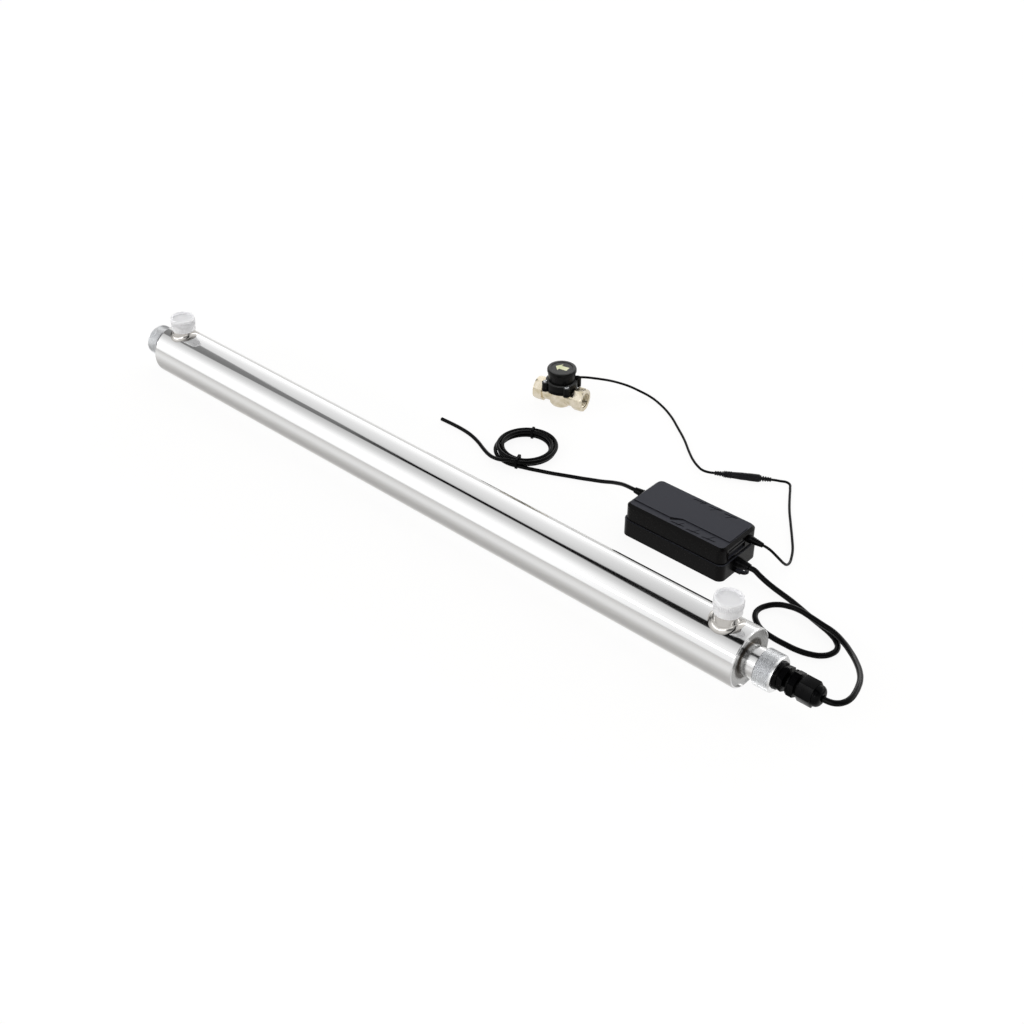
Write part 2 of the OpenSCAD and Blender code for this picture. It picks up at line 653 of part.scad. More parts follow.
module gland_dome_nut() color("black") on_gland() difference() {
    union() {
        translate([dome_from, 0, 0]) along_x() intersection() {
            union() {
                cylinder(r = dome_r - 1.2, h = dome_l * 0.55);
                for (k = [0 : 5]) rotate([0, 0, 60 * k]) translate([0, -2.2, 0])
                    cube([dome_r, 4.4, dome_l * 0.5]);
            }
            cylinder(r1 = dome_r - 0.6, r2 = dome_r + 0.6, h = dome_l);
        }
        translate([dome_from + dome_l * 0.5, 0, 0]) along_x() rotate_extrude() {
            shoulder_r = dome_r - 1.2;
            rise = dome_l * 0.5;
            polygon(concat([[0, 0]], [for (a = [0 : 15 : 90])
                [dome_nose_r + (shoulder_r - dome_nose_r) * cos(a), rise * sin(a)]], [[0, rise]]));
        }
    }
    rod_x(dome_from - 1, gland_neck_to + seat, gland_neck_r + seat);
    rod_x(gland_neck_to, gland_seal_to + seat, gland_seal_r + seat);
    rod_x(gland_seal_to, dome_to + 1, gland_bore_r);
}

// Ballast
module boot_holes() {
    // The three places where cords leave the ballast
    translate(lamp_boot_at) rod_x(-boot_root, 5, boot_hole_r(lamp_cord_d));
    translate(mains_boot_at) rod_x(-5, boot_root, boot_hole_r(mains_cord_d));
    translate(sensor_boot_at) rod_x(-boot_root, 5, boot_hole_r(sensor_cord_d));
}
module lug() difference() {
    // Tongue with a screw hole, reaching along +X from the base's end
    union() {
        translate([ballast_near - 1, -lug_w / 2, 0]) cube([lug_l - 5.5 + 1, lug_w, lug_t]);
        translate([lug_hole_at, 0, 0]) cylinder(d = lug_w - 3, h = lug_t);
    }
    translate([lug_hole_at, 0, -1]) cylinder(d = lug_hole, h = lug_t + 2);
}
module ballast_base() color("dimgray") on_ballast() difference() {
    union() {
        difference() {
            linear_extrude(base_h) rounded_box(ballast_l, ballast_w, ballast_corner);
            translate([0, 0, ballast_wall]) linear_extrude(base_h) rounded_box(
                ballast_l - 2 * ballast_wall, ballast_w - 2 * ballast_wall, ballast_corner - ballast_wall);
        }
        at_corners() translate([0, 0, 1]) cylinder(r = boss_r, h = base_h - 1);
        for (sx = [-1, 1]) translate([sx * board_l * 0.3, 0, 1]) cylinder(r = 3, h = board_z - 1 - seat);
        lug();
        mirror([1, 0, 0]) lug();
    }
    at_corners() {
        translate([0, 0, -1]) cylinder(r = screw_r + seat, h = base_h + 2);
        translate([0, 0, -1]) cylinder(r = screw_head_r + 0.2, h = screw_head_h + 1 + seat);
    }
    boot_holes();
}

// The raised panel on the cover's top, wide at the mains end and drawn in by a jog
module cover_panel() {
    half_l = cover_l / 2 - cover_chamfer - 1;
    half_w = cover_w / 2 - strip_w;
    polygon([[-half_l, -half_w], [-12, -half_w], [0, -half_w + panel_jog], [half_l, -half_w + panel_jog],
        [half_l, half_w - panel_jog / 2], [12, half_w - panel_jog / 2], [2, half_w], [-half_l, half_w]]);
}
module slash(x, y) translate([x, y]) polygon([[0, 0], [slash_l, 1.4], [slash_l + 1.6, 3], [1.6, 1.6]]);
module cover_shell(grow, top) {
    // Outer form of the cover: upright sides and a chamfered top
    flat = 0.1;
    hull() {
        linear_extrude(flat) rounded_box(cover_l + 2 * grow, cover_w + 2 * grow, ballast_corner + grow, $fn = 32);
        translate([0, 0, top - cover_chamfer]) linear_extrude(flat)
            rounded_box(cover_l + 2 * grow, cover_w + 2 * grow, ballast_corner + grow, $fn = 32);
        translate([0, 0, top - flat]) linear_extrude(flat) rounded_box(
            cover_l + 2 * grow - 2 * cover_chamfer, cover_w + 2 * grow - 2 * cover_chamfer,
            ballast_corner + grow - cover_chamfer, $fn = 32);
    }
}
module ballast_cover() color("dimgray") on_ballast() difference() {
    union() {
        difference() {
            translate([0, 0, base_h + seat]) cover_shell(0, cover_h - panel_rise - seat);
            translate([0, 0, base_h - 1]) linear_extrude(cover_h - ballast_wall - panel_rise + 1) rounded_box(
                cover_l - 2 * ballast_wall, cover_w - 2 * ballast_wall, ballast_corner - ballast_wall);
        }
        translate([0, 0, ballast_h - panel_rise - 1]) linear_extrude(panel_rise + 1) cover_panel();
        at_corners() translate([0, 0, base_h + seat]) cylinder(r = boss_r, h = cover_h - ballast_wall);
    }
    at_corners() translate([0, 0, base_h - 1]) cylinder(r = screw_r + seat, h = cover_h * 0.6);
    translate([0, 0, ballast_h - panel_rise - slash_depth]) linear_extrude(panel_rise + 1) {
        for (k = [0 : 2]) slash(-8 + 20 * k, -cover_w / 2 + 5.5);
        for (k = [0 : 2]) slash(-14 + 20 * k, cover_w / 2 - 8.5);
    }
    translate([cover_l / 2 - ballast_wall - 0.5, window_y - window_w / 2, window_z0])
        cube([ballast_wall + 5, window_w, window_z1 - window_z0]);
    boot_holes();
}
module ballast_end_panel() color("slategray") on_ballast() {
    // Plate behind the window in the cover's end, with a bar across the window
    face = cover_l / 2 - ballast_wall - seat;
    w = window_w + 2 * panel_lap;
    translate([face - panel_t, window_y - w / 2, window_z0 - panel_lap])
        cube([panel_t, w, window_z1 - window_z0 + 2 * panel_lap]);
    translate([face - 0.5, window_y - window_w / 2 + seat, window_z0 + 6])
        cube([ballast_wall, window_w - 2 * seat, 1.8]);
}
module ballast_board() color("darkgreen") on_ballast() difference() {
    translate([-board_l / 2, -board_w / 2, board_z]) cube([board_l, board_w, board_t]);
    at_corners() translate([0, 0, board_z - 1]) cylinder(r = boss_r + free, h = board_t + 2);
}
module ballast_choke() color("saddlebrown") on_ballast() translate([-14, -2, board_z + board_t + seat]) {
    translate([-14, -12, 0]) cube([28, 24, 4]);
    translate([-7, -12, 4]) cube([14, 24, 14]);
    translate([-14, -12, 18]) cube([28, 24, 4]);
    translate([0, 0, 4]) cylinder(r = 11, h = 14);
}
module ballast_capacitors() color("midnightblue") on_ballast()
    for (p = [[24, -10, 6], [24, 6, 6], [-42, 8, 5], [-42, -6, 5]])
        translate([p[0], p[1], board_z + board_t + seat]) cylinder(r = p[2], h = 3 * p[2]);
module ballast_screws() color("silver") on_ballast() at_corners() {
    translate([0, 0, 0.2]) cylinder(r = screw_head_r, h = screw_head_h - 0.2);
    translate([0, 0, screw_head_h - 0.1]) cylinder(r = screw_r, h = base_h + 6);
}
module lamp_boot() color("black") on_ballast() translate(lamp_boot_at)
    boot(lamp_cord_d, lamp_boot_l, boot_root, boot_ribs);
module mains_boot() color("black") on_ballast() translate(mains_boot_at) mirror([1, 0, 0])
    boot(mains_cord_d, mains_boot_l, boot_root, boot_ribs);
module sensor_boot() color("black") on_ballast() translate(sensor_boot_at)
    boot(sensor_cord_d, sensor_boot_l, boot_root, boot_ribs);

// Flow switch
module octagon(flats) rotate(22.5) circle(d = flats / cos(22.5), $fn = 8);
module flow_body() color("tan") on_flow() difference() {
    union() {
        for (s = [0, 1]) mirror([s, 0, 0]) translate([flow_l / 2 - flow_end_l, 0, flow_z]) along_x()
            intersection() {
                linear_extrude(flow_end_l) octagon(flow_flats);
                cylinder(r1 = flow_flats / 2 + 3, r2 = flow_flats / 2 + 0.3, h = flow_end_l);
            }
        translate([0, 0, flow_z]) rod_x(-flow_l / 2 + 1, flow_l / 2 - 1, flow_neck_r);
        translate([0, 0, flow_foot]) cylinder(r1 = barrel_r - 2, r2 = barrel_r, h = 3);
        translate([0, 0, flow_foot + 3]) cylinder(r = barrel_r, h = barrel_h - flow_foot - 3);
    }
    translate([0, 0, flow_z]) {
        rod_x(-flow_l, flow_l, flow_bore_r);
        rod_x(flow_l / 2 - flow_thread_l, flow_l, flow_thread_r);
        rod_x(-flow_l, -flow_l / 2 + flow_thread_l, flow_thread_r);
    }
    translate([0, 0, chamber_floor]) cylinder(r = chamber_r, h = barrel_h);
    translate([0, -paddle_pin_l / 2, paddle_pin_z]) rotate([-90, 0, 0])
        cylinder(r = paddle_pin_r + seat, h = paddle_pin_l);
}
module clamp_outline(bore_r) {
    // Flat ring with four drilled lugs, shared by the clamp ring and the cover's foot
    difference() {
        union() {
            circle(clamp_r);
            at_switch_lugs() circle(switch_lug_r);
        }
        circle(bore_r);
        at_switch_lugs() circle(switch_screw_r + seat);
    }
}
module flow_clamp_ring() color("black") on_flow() difference() {
    translate([0, 0, clamp_top - clamp_t]) linear_extrude(clamp_t) clamp_outline(barrel_r + seat);
    translate([0, 0, flow_z]) rod_x(-flow_l / 2, flow_l / 2, flow_neck_r + seat);
}
module flow_gasket() color("dimgray") on_flow() translate([0, 0, barrel_h + seat]) difference() {
    cylinder(r = barrel_r - 0.4, h = gasket_t);
    translate([0, 0, -1]) cylinder(r = chamber_r + 0.4, h = gasket_t + 2);
}
module flow_cover() color("black") on_flow() difference() {
    brim_from = switch_top - switch_brim_t;
    foot = clamp_top + seat;
    union() {
        translate([0, 0, foot]) linear_extrude(switch_lug_h) clamp_outline(barrel_r + seat);
        rotate_extrude() polygon([[0, switch_floor], [switch_r, switch_floor], [switch_r, foot + switch_lug_h],
            [switch_brim_r - 0.6, brim_from], [switch_brim_r, brim_from + 0.6],
            [switch_brim_r, switch_top - 1.8], [switch_brim_r - 0.5, switch_top - 0.6],
            [switch_brim_r - 1.6, switch_top], [switch_brim_r - 4.4, switch_top],
            [switch_brim_r - 5.2, switch_top - switch_dish], [0, switch_top - switch_dish]]);
    }
    translate([0, 0, switch_floor + switch_wall])
        cylinder(r = switch_r - switch_wall, h = switch_top - 3 - switch_floor - switch_wall);
    rotate([0, 0, flow_cord_turn]) translate([0, 0, flow_cord_z])
        rod_x(switch_r - flow_boot_root, switch_r + 2, flow_boot_r + seat);
}
module flow_screws() color("silver") on_flow() at_switch_lugs() {
    head_z = clamp_top + switch_lug_h + 2 * seat;
    translate([0, 0, head_z]) cylinder(r1 = switch_screw_head_r, r2 = switch_screw_head_r - 0.7, h = 1.8);
    translate([0, 0, clamp_top - clamp_t + 0.4]) cylinder(r = switch_screw_r, h = head_z - clamp_top + clamp_t);
}
module flow_cord_boot() color("black") on_flow() rotate([0, 0, flow_cord_turn])
    translate([switch_r, 0, flow_cord_z]) along_x() {
        translate([0, 0, -flow_boot_root + seat]) cylinder(r = flow_boot_r, h = flow_boot_root + flow_boot_l - 2);
        translate([0, 0, flow_boot_l - 2]) cylinder(r1 = flow_boot_r, r2 = sensor_cord_d / 2 + 0.3, h = 2);
    }
module reed_switch() color("lightcyan") on_flow()
    translate([-9, 0, switch_floor + switch_wall + 1.6]) {
        rod_x(0, 18, 1.5);
        translate([1.5, -2.5, -1.6 + seat]) cube([15, 5, 1]);
    }
module paddle_pin() color("silver") on_flow() translate([0, 0, paddle_pin_z]) rotate([-90, 0, 0])
    translate([0, 0, -paddle_pin_l / 2 + seat]) cylinder(r = paddle_pin_r, h = paddle_pin_l - 2 * seat);
module flow_paddle() color("white") on_flow() difference() {
    union() {
        translate([0, -paddle_w / 2, paddle_pin_z]) rotate([-90, 0, 0])
            cylinder(r = paddle_hub_r, h = paddle_w);
        translate([-paddle_t / 2, -paddle_w / 2 + 1.5, paddle_foot])
            cube([paddle_t, paddle_w - 3, paddle_pin_z - paddle_foot]);
        translate([-paddle_t / 2, 0, magnet_z]) rod_x(-magnet_t, paddle_t, magnet_r + 1);
    }
    translate([0, -paddle_w, paddle_pin_z]) rotate([-90, 0, 0])
        cylinder(r = paddle_pin_r + running, h = 2 * paddle_w);
    translate([-paddle_t / 2, 0, magnet_z]) rod_x(-magnet_t - 1, 0, magnet_r + seat);
}
module paddle_magnet() color("gray") on_flow() translate([-paddle_t / 2, 0, magnet_z])
    rod_x(-magnet_t, -seat, magnet_r);

// Cords and what is on them
module lamp_cord() color("black") cord(lamp_cord_points, lamp_cord_d, 8);
module mains_cord() color("black") cord(mains_cord_points, mains_cord_d, 8);
module mains_coil() color("black") cord(coil_route, mains_cord_d, coil_sides);
module mains_cord_end() color("black") cord(mains_end_points, mains_cord_d, 8);
module sensor_cord() color("black") cord(sensor_cord_points, sensor_cord_d, 8);
module sensor_pigtail() color("black") cord(pigtail_points, sensor_cord_d, 8);

// Tie: a flat band drawn tight round the turns that pass one angle
module coil_tie(angle) {
    first = (coil_from - angle + 360) % 360 / 360;
    depths = [for (k = [0 : coil_turns - 1]) coil_depth(first + k)];
    hug = mains_cord_d / 2 + 0.4;
    inside = coil_r - coil_step * max(depths) - hug;
    outside = coil_r - coil_step * min(depths) + hug;
    high = coil_z + coil_step + hug;
    translate([coil_at[0], coil_at[1], 0]) rotate([0, 0, angle]) rotate([90, 0, 0])
        translate([0, 0, -tie_w / 2]) linear_extrude(tie_w) difference() {
            translate([(inside + outside) / 2, (high + tie_t) / 2])
                rounded_box(outside - inside + 2 * tie_t, high + tie_t, hug + tie_t);
            translate([(inside + outside) / 2, (high + tie_t) / 2])
                rounded_box(outside - inside, high - tie_t, hug);
        }
}
module coil_ties() color("black") for (a = tie_angles) coil_tie(a);

// Inline connector: a tapering plug pushed into a thicker socket, each with a ribbed boot
module on_connector() translate([connector_at[0], connector_at[1], connector_r])
    rotate([0, 0, connector_turn]) children();
module connector_boot() {
    // Ribs from the body's end out to the cord, along +X
    pitch = connector_boot_l / 4;
    rod_x(-0.5, connector_boot_l, sensor_cord_d / 2 + 0.5);
    for (k = [0 : 3]) rod_x(pitch * (k + 0.35), pitch * (k + 1), sensor_cord_d / 2 + 1.6 - 0.2 * k);
}
module sensor_plug() color("black") on_connector() {
    body_from = -connector_half + connector_boot_l;
    translate([body_from, 0, 0]) mirror([1, 0, 0]) connector_boot();
    translate([body_from, 0, 0]) along_x() cylinder(r1 = connector_waist_r, r2 = connector_r - 0.3, h = 18);
    rod_x(body_from + 17, body_from + 26, connector_waist_r);
}
module sensor_socket() color("black") on_connector() {
    body_to = connector_half - connector_boot_l;
    body_from = -connector_half + connector_boot_l + 18 + seat;
    translate([body_to, 0, 0]) connector_boot();
    difference() {
        union() {
            rod_x(body_from, body_to - 7, connector_r - 0.2);
            rod_x(body_from + 9, body_to - 3, connector_r);
            translate([body_to - 3, 0, 0]) along_x() cylinder(r1 = connector_r, r2 = connector_waist_r, h = 3);
        }
        rod_x(body_from - 1, body_from + 8 + 2 * seat, connector_waist_r + seat);
    }
}

chamber_tube();
far_end_plate();
near_end_plate();
inlet_port();
outlet_port();
inlet_cap();
outlet_cap();
far_nipple();
near_nipple();
far_seal_ring();
near_seal_ring();
far_thrust_ring();
near_thrust_ring();
far_slip_washer();
near_slip_washer();
far_gland_nut();
near_gland_nut();
quartz_sleeve();
lamp_glass();
far_lamp_base();
near_lamp_base();
lamp_pins();
lamp_socket();
lamp_plug();
gland_lock_nut();
gland_washer();
gland_body();
gland_seal();
gland_dome_nut();
ballast_base();
ballast_cover();
ballast_end_panel();
ballast_board();
ballast_choke();
ballast_capacitors();
ballast_screws();
mains_boot();
lamp_boot();
sensor_boot();
flow_body();
flow_clamp_ring();
flow_gasket();
flow_cover();
flow_screws();
flow_cord_boot();
reed_switch();
paddle_pin();
flow_paddle();
paddle_magnet();
lamp_cord();
mains_cord();
mains_coil();
mains_cord_end();
coil_ties();
sensor_cord();
sensor_plug();
sensor_socket();
sensor_pigtail();
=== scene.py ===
"""Looks of a tube-type ultraviolet water clarifier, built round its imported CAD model.

Every piece is in metres in the model's own frame: the chamber lies along X with its lamp end
towards +X, z = 0 is the surface it lies on, and x = 0 is the middle of its tube.
"""

import json
import math
from functools import partial

import bpy
from bpy.types import Node, NodeSocket, Operator, Panel, PropertyGroup
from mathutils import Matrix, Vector

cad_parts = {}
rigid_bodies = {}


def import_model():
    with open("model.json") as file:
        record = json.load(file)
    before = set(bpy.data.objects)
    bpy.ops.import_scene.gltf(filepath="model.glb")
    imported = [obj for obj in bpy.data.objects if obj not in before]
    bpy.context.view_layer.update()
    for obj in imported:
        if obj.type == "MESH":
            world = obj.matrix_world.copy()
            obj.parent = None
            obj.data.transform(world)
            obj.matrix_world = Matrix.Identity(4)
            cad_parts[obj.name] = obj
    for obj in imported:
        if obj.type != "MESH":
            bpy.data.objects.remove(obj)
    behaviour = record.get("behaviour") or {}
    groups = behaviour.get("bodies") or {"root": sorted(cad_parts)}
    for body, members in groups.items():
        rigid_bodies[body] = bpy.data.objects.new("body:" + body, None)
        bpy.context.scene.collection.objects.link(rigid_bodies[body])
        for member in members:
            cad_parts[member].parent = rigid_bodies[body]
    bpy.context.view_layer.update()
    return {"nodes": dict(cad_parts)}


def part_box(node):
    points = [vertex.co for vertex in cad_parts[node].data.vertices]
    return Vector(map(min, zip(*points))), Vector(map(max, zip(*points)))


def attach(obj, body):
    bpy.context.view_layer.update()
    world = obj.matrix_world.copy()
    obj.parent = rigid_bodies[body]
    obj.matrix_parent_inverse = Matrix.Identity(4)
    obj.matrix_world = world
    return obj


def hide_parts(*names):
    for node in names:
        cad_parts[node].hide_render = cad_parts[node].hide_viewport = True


for leftover in list(bpy.data.objects):
    bpy.data.objects.remove(leftover)
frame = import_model()
NODES = frame["nodes"]

bl_info = {
    "name": "UV clarifier",
    "version": (1, 0, 0),
    "blender": (4, 5, 0),
    "location": "View3D > Sidebar > Clarifier",
    "description": "Cords, finishes and small details of a tube-type ultraviolet water clarifier",
    "category": "Object",
}

MM = 0.001
NEAR = 1e-6  # Metres within which two places are one
SQUARE = 0.9  # Least part of a normal along an axis that it faces
SMOOTH_UNDER = 35  # Degrees of an edge that is shaded smooth
NOISE_RANGE = (0.3, 0.7)  # Where most of a noise falls

# Places and angles on the object, in millimetres and degrees
AXIS_Z = 31.75
TUBE_END = 437.5
GLAND_FROM = 473.95
BALLAST_AT = (266.0, 140.0)
LAMP_BOOT = (80.5, -4, 12)
MAINS_BOOT = (-82, 11, 25.8)
SENSOR_BOOT = (80.5, 17, 29.5)
FLOW_AT = (-21.0, 266.5)
FLOW_Z = 13.5
FLOW_TURN = 12.0
FLOW_CORD_ANGLE = 45.0
FLOW_BOOT = (22, 35.9)
CONNECTOR_AT = (240.5, 279.0)
CONNECTOR_TURN = 30.0
CONNECTOR_Z = 4.5
CONNECTOR_HALF = 32
CORD_GAP = 0.05
COIL_AT = (18.5, 156.7)
COIL_FROM = -70.0
COIL_TURNS = 4
COIL_R = 37.0
COIL_STEP = 5.1
COIL_Z = 3.6
LAMP_Z = 3.1
MAINS_Z = 2.4
SENSOR_Z = 1.6


def on_floor(z, points):
    """Gives the points of a route that have no height of their own the height of a cord at rest."""
    return [point if len(point) == 3 else (*point, z) for point in points]


# Chosen points of the cords' routes, in millimetres, as in the part's source
LAMP_ROUTE = on_floor(LAMP_Z, [
    (360, 135.4, 9.2), (369, 134.8, 6.2), (379, 134, 4), (390, 132.4), (402, 129.7),
    (416, 125.7), (431, 121), (446, 116.7), (459, 112.5), (470, 106.3), (476.5, 98),
    (476.5, 88), (471, 79), (461, 73), (449, 69.8), (435, 69), (421, 69.3), (407, 71.8),
    (396, 78), (388.5, 86), (386, 95), (389, 105, 3.6), (397, 113, 5), (409, 116.4, 7),
    (421, 116.1, 9), (434, 114, 9.8), (449, 111.7, 9.8), (464, 109.3, 9.8), (479, 102.6, 10.2),
    (494.4, 90.8, 13.2), (508.8, 75.9, 18.5), (519.5, 62.3, 23), (527, 49.5, 26.6),
    (531.5, 38, 29), (534.5, 27, 30.6), (535.8, 17.5, 31.5), (534.3, 9, 31.8),
    (529.8, 2.8, 31.8),
])
MAINS_ROUTE = on_floor(MAINS_Z, [
    (172, 153, 24), (162, 156.4, 20.4), (152.6, 159, 16.2), (144, 160.7, 12.4), (130, 160.8, 7),
    (116.6, 159, 3.8), (104.5, 155), (93.5, 149.9), (82.5, 144.6), (71, 139.2),
    (60.5, 134.6, 2.6), (50, 129.7, 3),
])
MAINS_END_ROUTE = on_floor(MAINS_Z, [
    (15.5, 116.6, 7), (5, 116.6, 4.8), (-6, 119.2, 3), (-20, 124.6), (-34, 130.8), (-48, 135.4),
    (-62, 138), (-76, 138.9), (-89, 138.9), (-102, 138.5),
])
SENSOR_ROUTE = on_floor(SENSOR_Z, [
    (1.5, 288.4, 35.6), (7, 294.6, 34), (12, 302.4, 31.2), (17, 313.5, 26.2), (22.6, 327, 18.8),
    (30, 338, 12), (40, 345.6, 6), (54, 348.4, 2.6), (74, 343.4), (99, 331), (122, 315),
    (143.5, 299), (163, 282), (176, 271.6, 1.9), (188, 263.8, 2.9), (199, 259, 4),
])
PIGTAIL_ROUTE = on_floor(SENSOR_Z, [
    (276.6, 302.6, 2.4), (282, 306.2), (286.8, 305), (291.4, 299), (300, 285), (314, 263),
    (330, 241), (346.5, 218.5), (356.5, 204), (362.6, 192.4), (366.4, 183, 1.9),
    (367.6, 175, 4.4), (367, 168.6, 10), (364.6, 163.4, 17), (360.6, 159.6, 23.4),
    (356, 157.6, 27.6),
])


def linear(code):
    """Linear RGBA of an sRGB hex colour."""
    parts = [int(code[i:i + 2], 16) / 255 for i in (1, 3, 5)]
    return tuple(c / 12.92 if c <= 0.04045 else ((c + 0.055) / 1.055) ** 2.4
                 for c in parts) + (1.0,)


def size(name, text, default):
    """A length that a user would change, in metres."""
    return bpy.props.FloatProperty(name=name, description=text, default=default, unit="LENGTH",
                                   precision=5)


def colour(name, text, code):
    """A colour that a user would change."""
    return bpy.props.FloatVectorProperty(name=name, description=text, default=linear(code), size=4,
                                         min=0, max=1, subtype="COLOR")


class ClarifierSizes(PropertyGroup):
    """Sizes of the pieces that are added to the CAD model."""

    lamp_cord: size("Lamp cord", "Diameter of the lamp cord", 0.006)
    mains_cord: size("Mains cord", "Diameter of the mains cord", 0.0046)
    sensor_cord: size("Sensor cord", "Diameter of the sensor cord and of its pigtail", 0.003)
    cap_ribs: bpy.props.IntProperty(name="Cap ribs", description="Grip ribs round each cap's skirt",
                                    default=56, min=12, max=90)
    cap_rib_height: size("Cap rib height", "Height of the caps' grip ribs", 0.0065)
    cap_rib_depth: size("Cap rib depth", "How far the caps' grip ribs stand out", 0.0005)
    port_fillet: size("Port fillet", "Radius of the fillet where each port meets the tube", 0.0045)
    knurl: size("Knurl", "Spacing of the gland nuts' diamond knurl", 0.0019)
    gland_pitch: size("Gland thread", "Pitch of the cable gland's thread", 0.0015)
    pipe_pitch: size("Pipe thread", "Pitch of the half inch thread in the flow switch", 0.001814)
    arrow_length: size("Arrow length", "Length of the flow arrow", 0.0164)
    arrow_rise: size("Arrow rise", "How far the arrow stands out of the cover", 0.0003)


class ClarifierColours(PropertyGroup):
    """Colours of the finishes."""

    stainless: colour("Stainless", "Polished stainless steel", "#E1E1E1")
    end_plate: colour("End plate", "Satin stainless of the end plates", "#A8A8A7")
    aluminium: colour("Aluminium", "Knurled aluminium", "#F2F3F4")
    polythene: colour("Polythene", "Natural polythene of the caps", "#FBFBFD")
    nylon: colour("Nylon", "Black nylon of the gland and switch", "#020203")
    housing: colour("Housing", "Polished ABS of the ballast's sides", "#060505")
    # This colour is painted paler than the sides: painted light on the cover's top
    lit_cover_top: colour("Cover top", "Grained ABS of the ballast's top", "#36373E")
    sheath: colour("Sheath", "PVC of the cords", "#030303")
    brass: colour("Brass", "Pale plated brass of the flow switch", "#F0E7D6")
    arrow: colour("Arrow", "Paint of the flow arrow", "#EDEFC8")
    floor: colour("Floor", "Paper that the object lies on", "#DEDCD9")


def sizes():
    return bpy.context.scene.clarifier_sizes


def colours():
    return bpy.context.scene.clarifier_colours


def plug(tree, node, inputs):
    """Sets inputs by name or in order, or links them to a socket or a node's first live output."""
    for key, value in inputs.items() if isinstance(inputs, dict) else enumerate(inputs):
        if isinstance(value, Node):
            value = next(output for output in value.outputs if output.enabled)
        if isinstance(value, NodeSocket):
            tree.links.new(value, node.inputs[key])
        else:
            node.inputs[key].default_value = value


def add(tree, kind, inputs=(), **settings):
    """Adds a shader node with its settings, and sets or links its inputs."""
    made = tree.nodes.new("ShaderNode" + kind)
    for key, value in settings.items():
        setattr(made, key, value)
    plug(tree, made, inputs)
    return made


def coat(finish, inputs):
    """Sets or links the inputs of a finish's shader."""
    plug(finish.node_tree, finish.node_tree.nodes["Principled BSDF"], inputs)
    return finish


def new_finish(name, inputs):
    """Makes a material; returns it, a function that adds its nodes, and its object coordinates."""
    made = bpy.data.materials.new(name)
    made.use_nodes = True
    node = partial(add, made.node_tree)
    return coat(made, inputs), node, node("TexCoord").outputs["Object"]


def dress(finish, *names):
    """Gives CAD nodes a finish."""
    for name in names:
        node = NODES[name]
        if not node.material_slots:
            node.data.materials.append(finish)
        for slot in node.material_slots:
            slot.material = finish


def polished_stainless():
    # Drawn 304 tube, polished along its length: sharp long reflections, softened by hairlines
    finish, node, place = new_finish("polished_stainless", {
        "Base Color": colours().stainless, "Metallic": 1.0})
    # Hairlines about 90 mm long and 0.9 mm apart, drawn coarser than real ones so that they show
    along = node("Mapping", {"Vector": place, "Scale": (11, 1100, 1100)})
    hair = node("TexNoise", {"Vector": along, "Scale": 1.0, "Detail": 3.0})
    cloud = node("TexNoise", {"Vector": place, "Scale": 25.0})
    both = node("Math", (hair, cloud), operation="MULTIPLY")
    return coat(finish, {
        "Roughness": node("MapRange", (both, 0.1, 0.45, 0.05, 0.11)),
        "Normal": node("Bump", {"Height": hair, "Strength": 0.05, "Distance": 0.0002})})


def turned_stainless(name, base, scale, shine):
    # Machined and buffed stainless: fine rings left by the lathe, across the axis of most scale
    finish, node, place = new_finish(name, {"Base Color": base, "Metallic": 1.0})
    rings = node("Mapping", {"Vector": place, "Scale": scale})
    lines = node("TexNoise", {"Vector": rings, "Scale": 1.0})
    return coat(finish, {
        "Roughness": node("MapRange", (lines, *NOISE_RANGE, *shine)),
        "Normal": node("Bump", {"Height": lines, "Strength": 0.08, "Distance": 0.0002})})


def welded_plate():
    # Rolled stainless sheet, satin, with a painted brown shade ring round the nipple, where its
    # base is shadowed
    finish, node, place = new_finish("satin_stainless_plate", {"Metallic": 1.0})
    centred = node("Mapping", {"Vector": place, "Location": (0, 0, -AXIS_Z * MM),
                               "Scale": (0, 1, 1)})
    radius = node("VectorMath", (centred,), operation="LENGTH")
    # Blotches about 6 mm wide, which fray the painted shade ring's edge by 1 mm
    cloud = node("TexNoise", {"Vector": place, "Scale": 160.0})
    ragged = node("MapRange", (cloud, 0, 1, -0.001, 0.001))
    edge = node("Math", (radius, ragged), operation="ADD")
    # Within about 21 mm of the axis the plate is painted dark brown: painted shade round the
    # nipple's base
    shade_ring = node("MapRange", (edge, 0.0204, 0.0228))
    return coat(finish, {
        "Base Color": node("Mix", {0: shade_ring, 6: linear("#39342E"), 7: colours().end_plate},
                           data_type="RGBA"),
        "Roughness": node("MapRange", (cloud, *NOISE_RANGE, 0.2, 0.3))})


def grained_with_lit_top(name, side, lit_crown):
    # Moulded plastic: the top is spark-eroded to a fine grain and painted paler, as painted light
    # from above; the sides are polished and dark
    finish, node, place = new_finish(name, {"Specular IOR Level": 0.09})
    facing = node("NewGeometry")
    axes = node("SeparateXYZ", (facing.outputs["True Normal"],))
    # Faces that turn up take the top colour, painted paler as painted light from above
    top = node("MapRange", (axes.outputs["Z"], 0.75, 0.95))
    # Grain of about 0.9 mm, drawn coarser than real so that it shows
    speck = node("TexNoise", {"Vector": place, "Scale": 1100.0, "Detail": 3.0})
    gloss = node("MapRange", (top, 0, 1, 0.2, 0.42))
    return coat(finish, {
        "Base Color": node("Mix", {0: top, 6: side, 7: lit_crown}, data_type="RGBA"),
        "Roughness": node("Math", (speck, 0.12, gloss), operation="MULTIPLY_ADD"),
        "Normal": node("Bump", {"Height": speck, "Strength": 0.16, "Distance": 0.0003})})


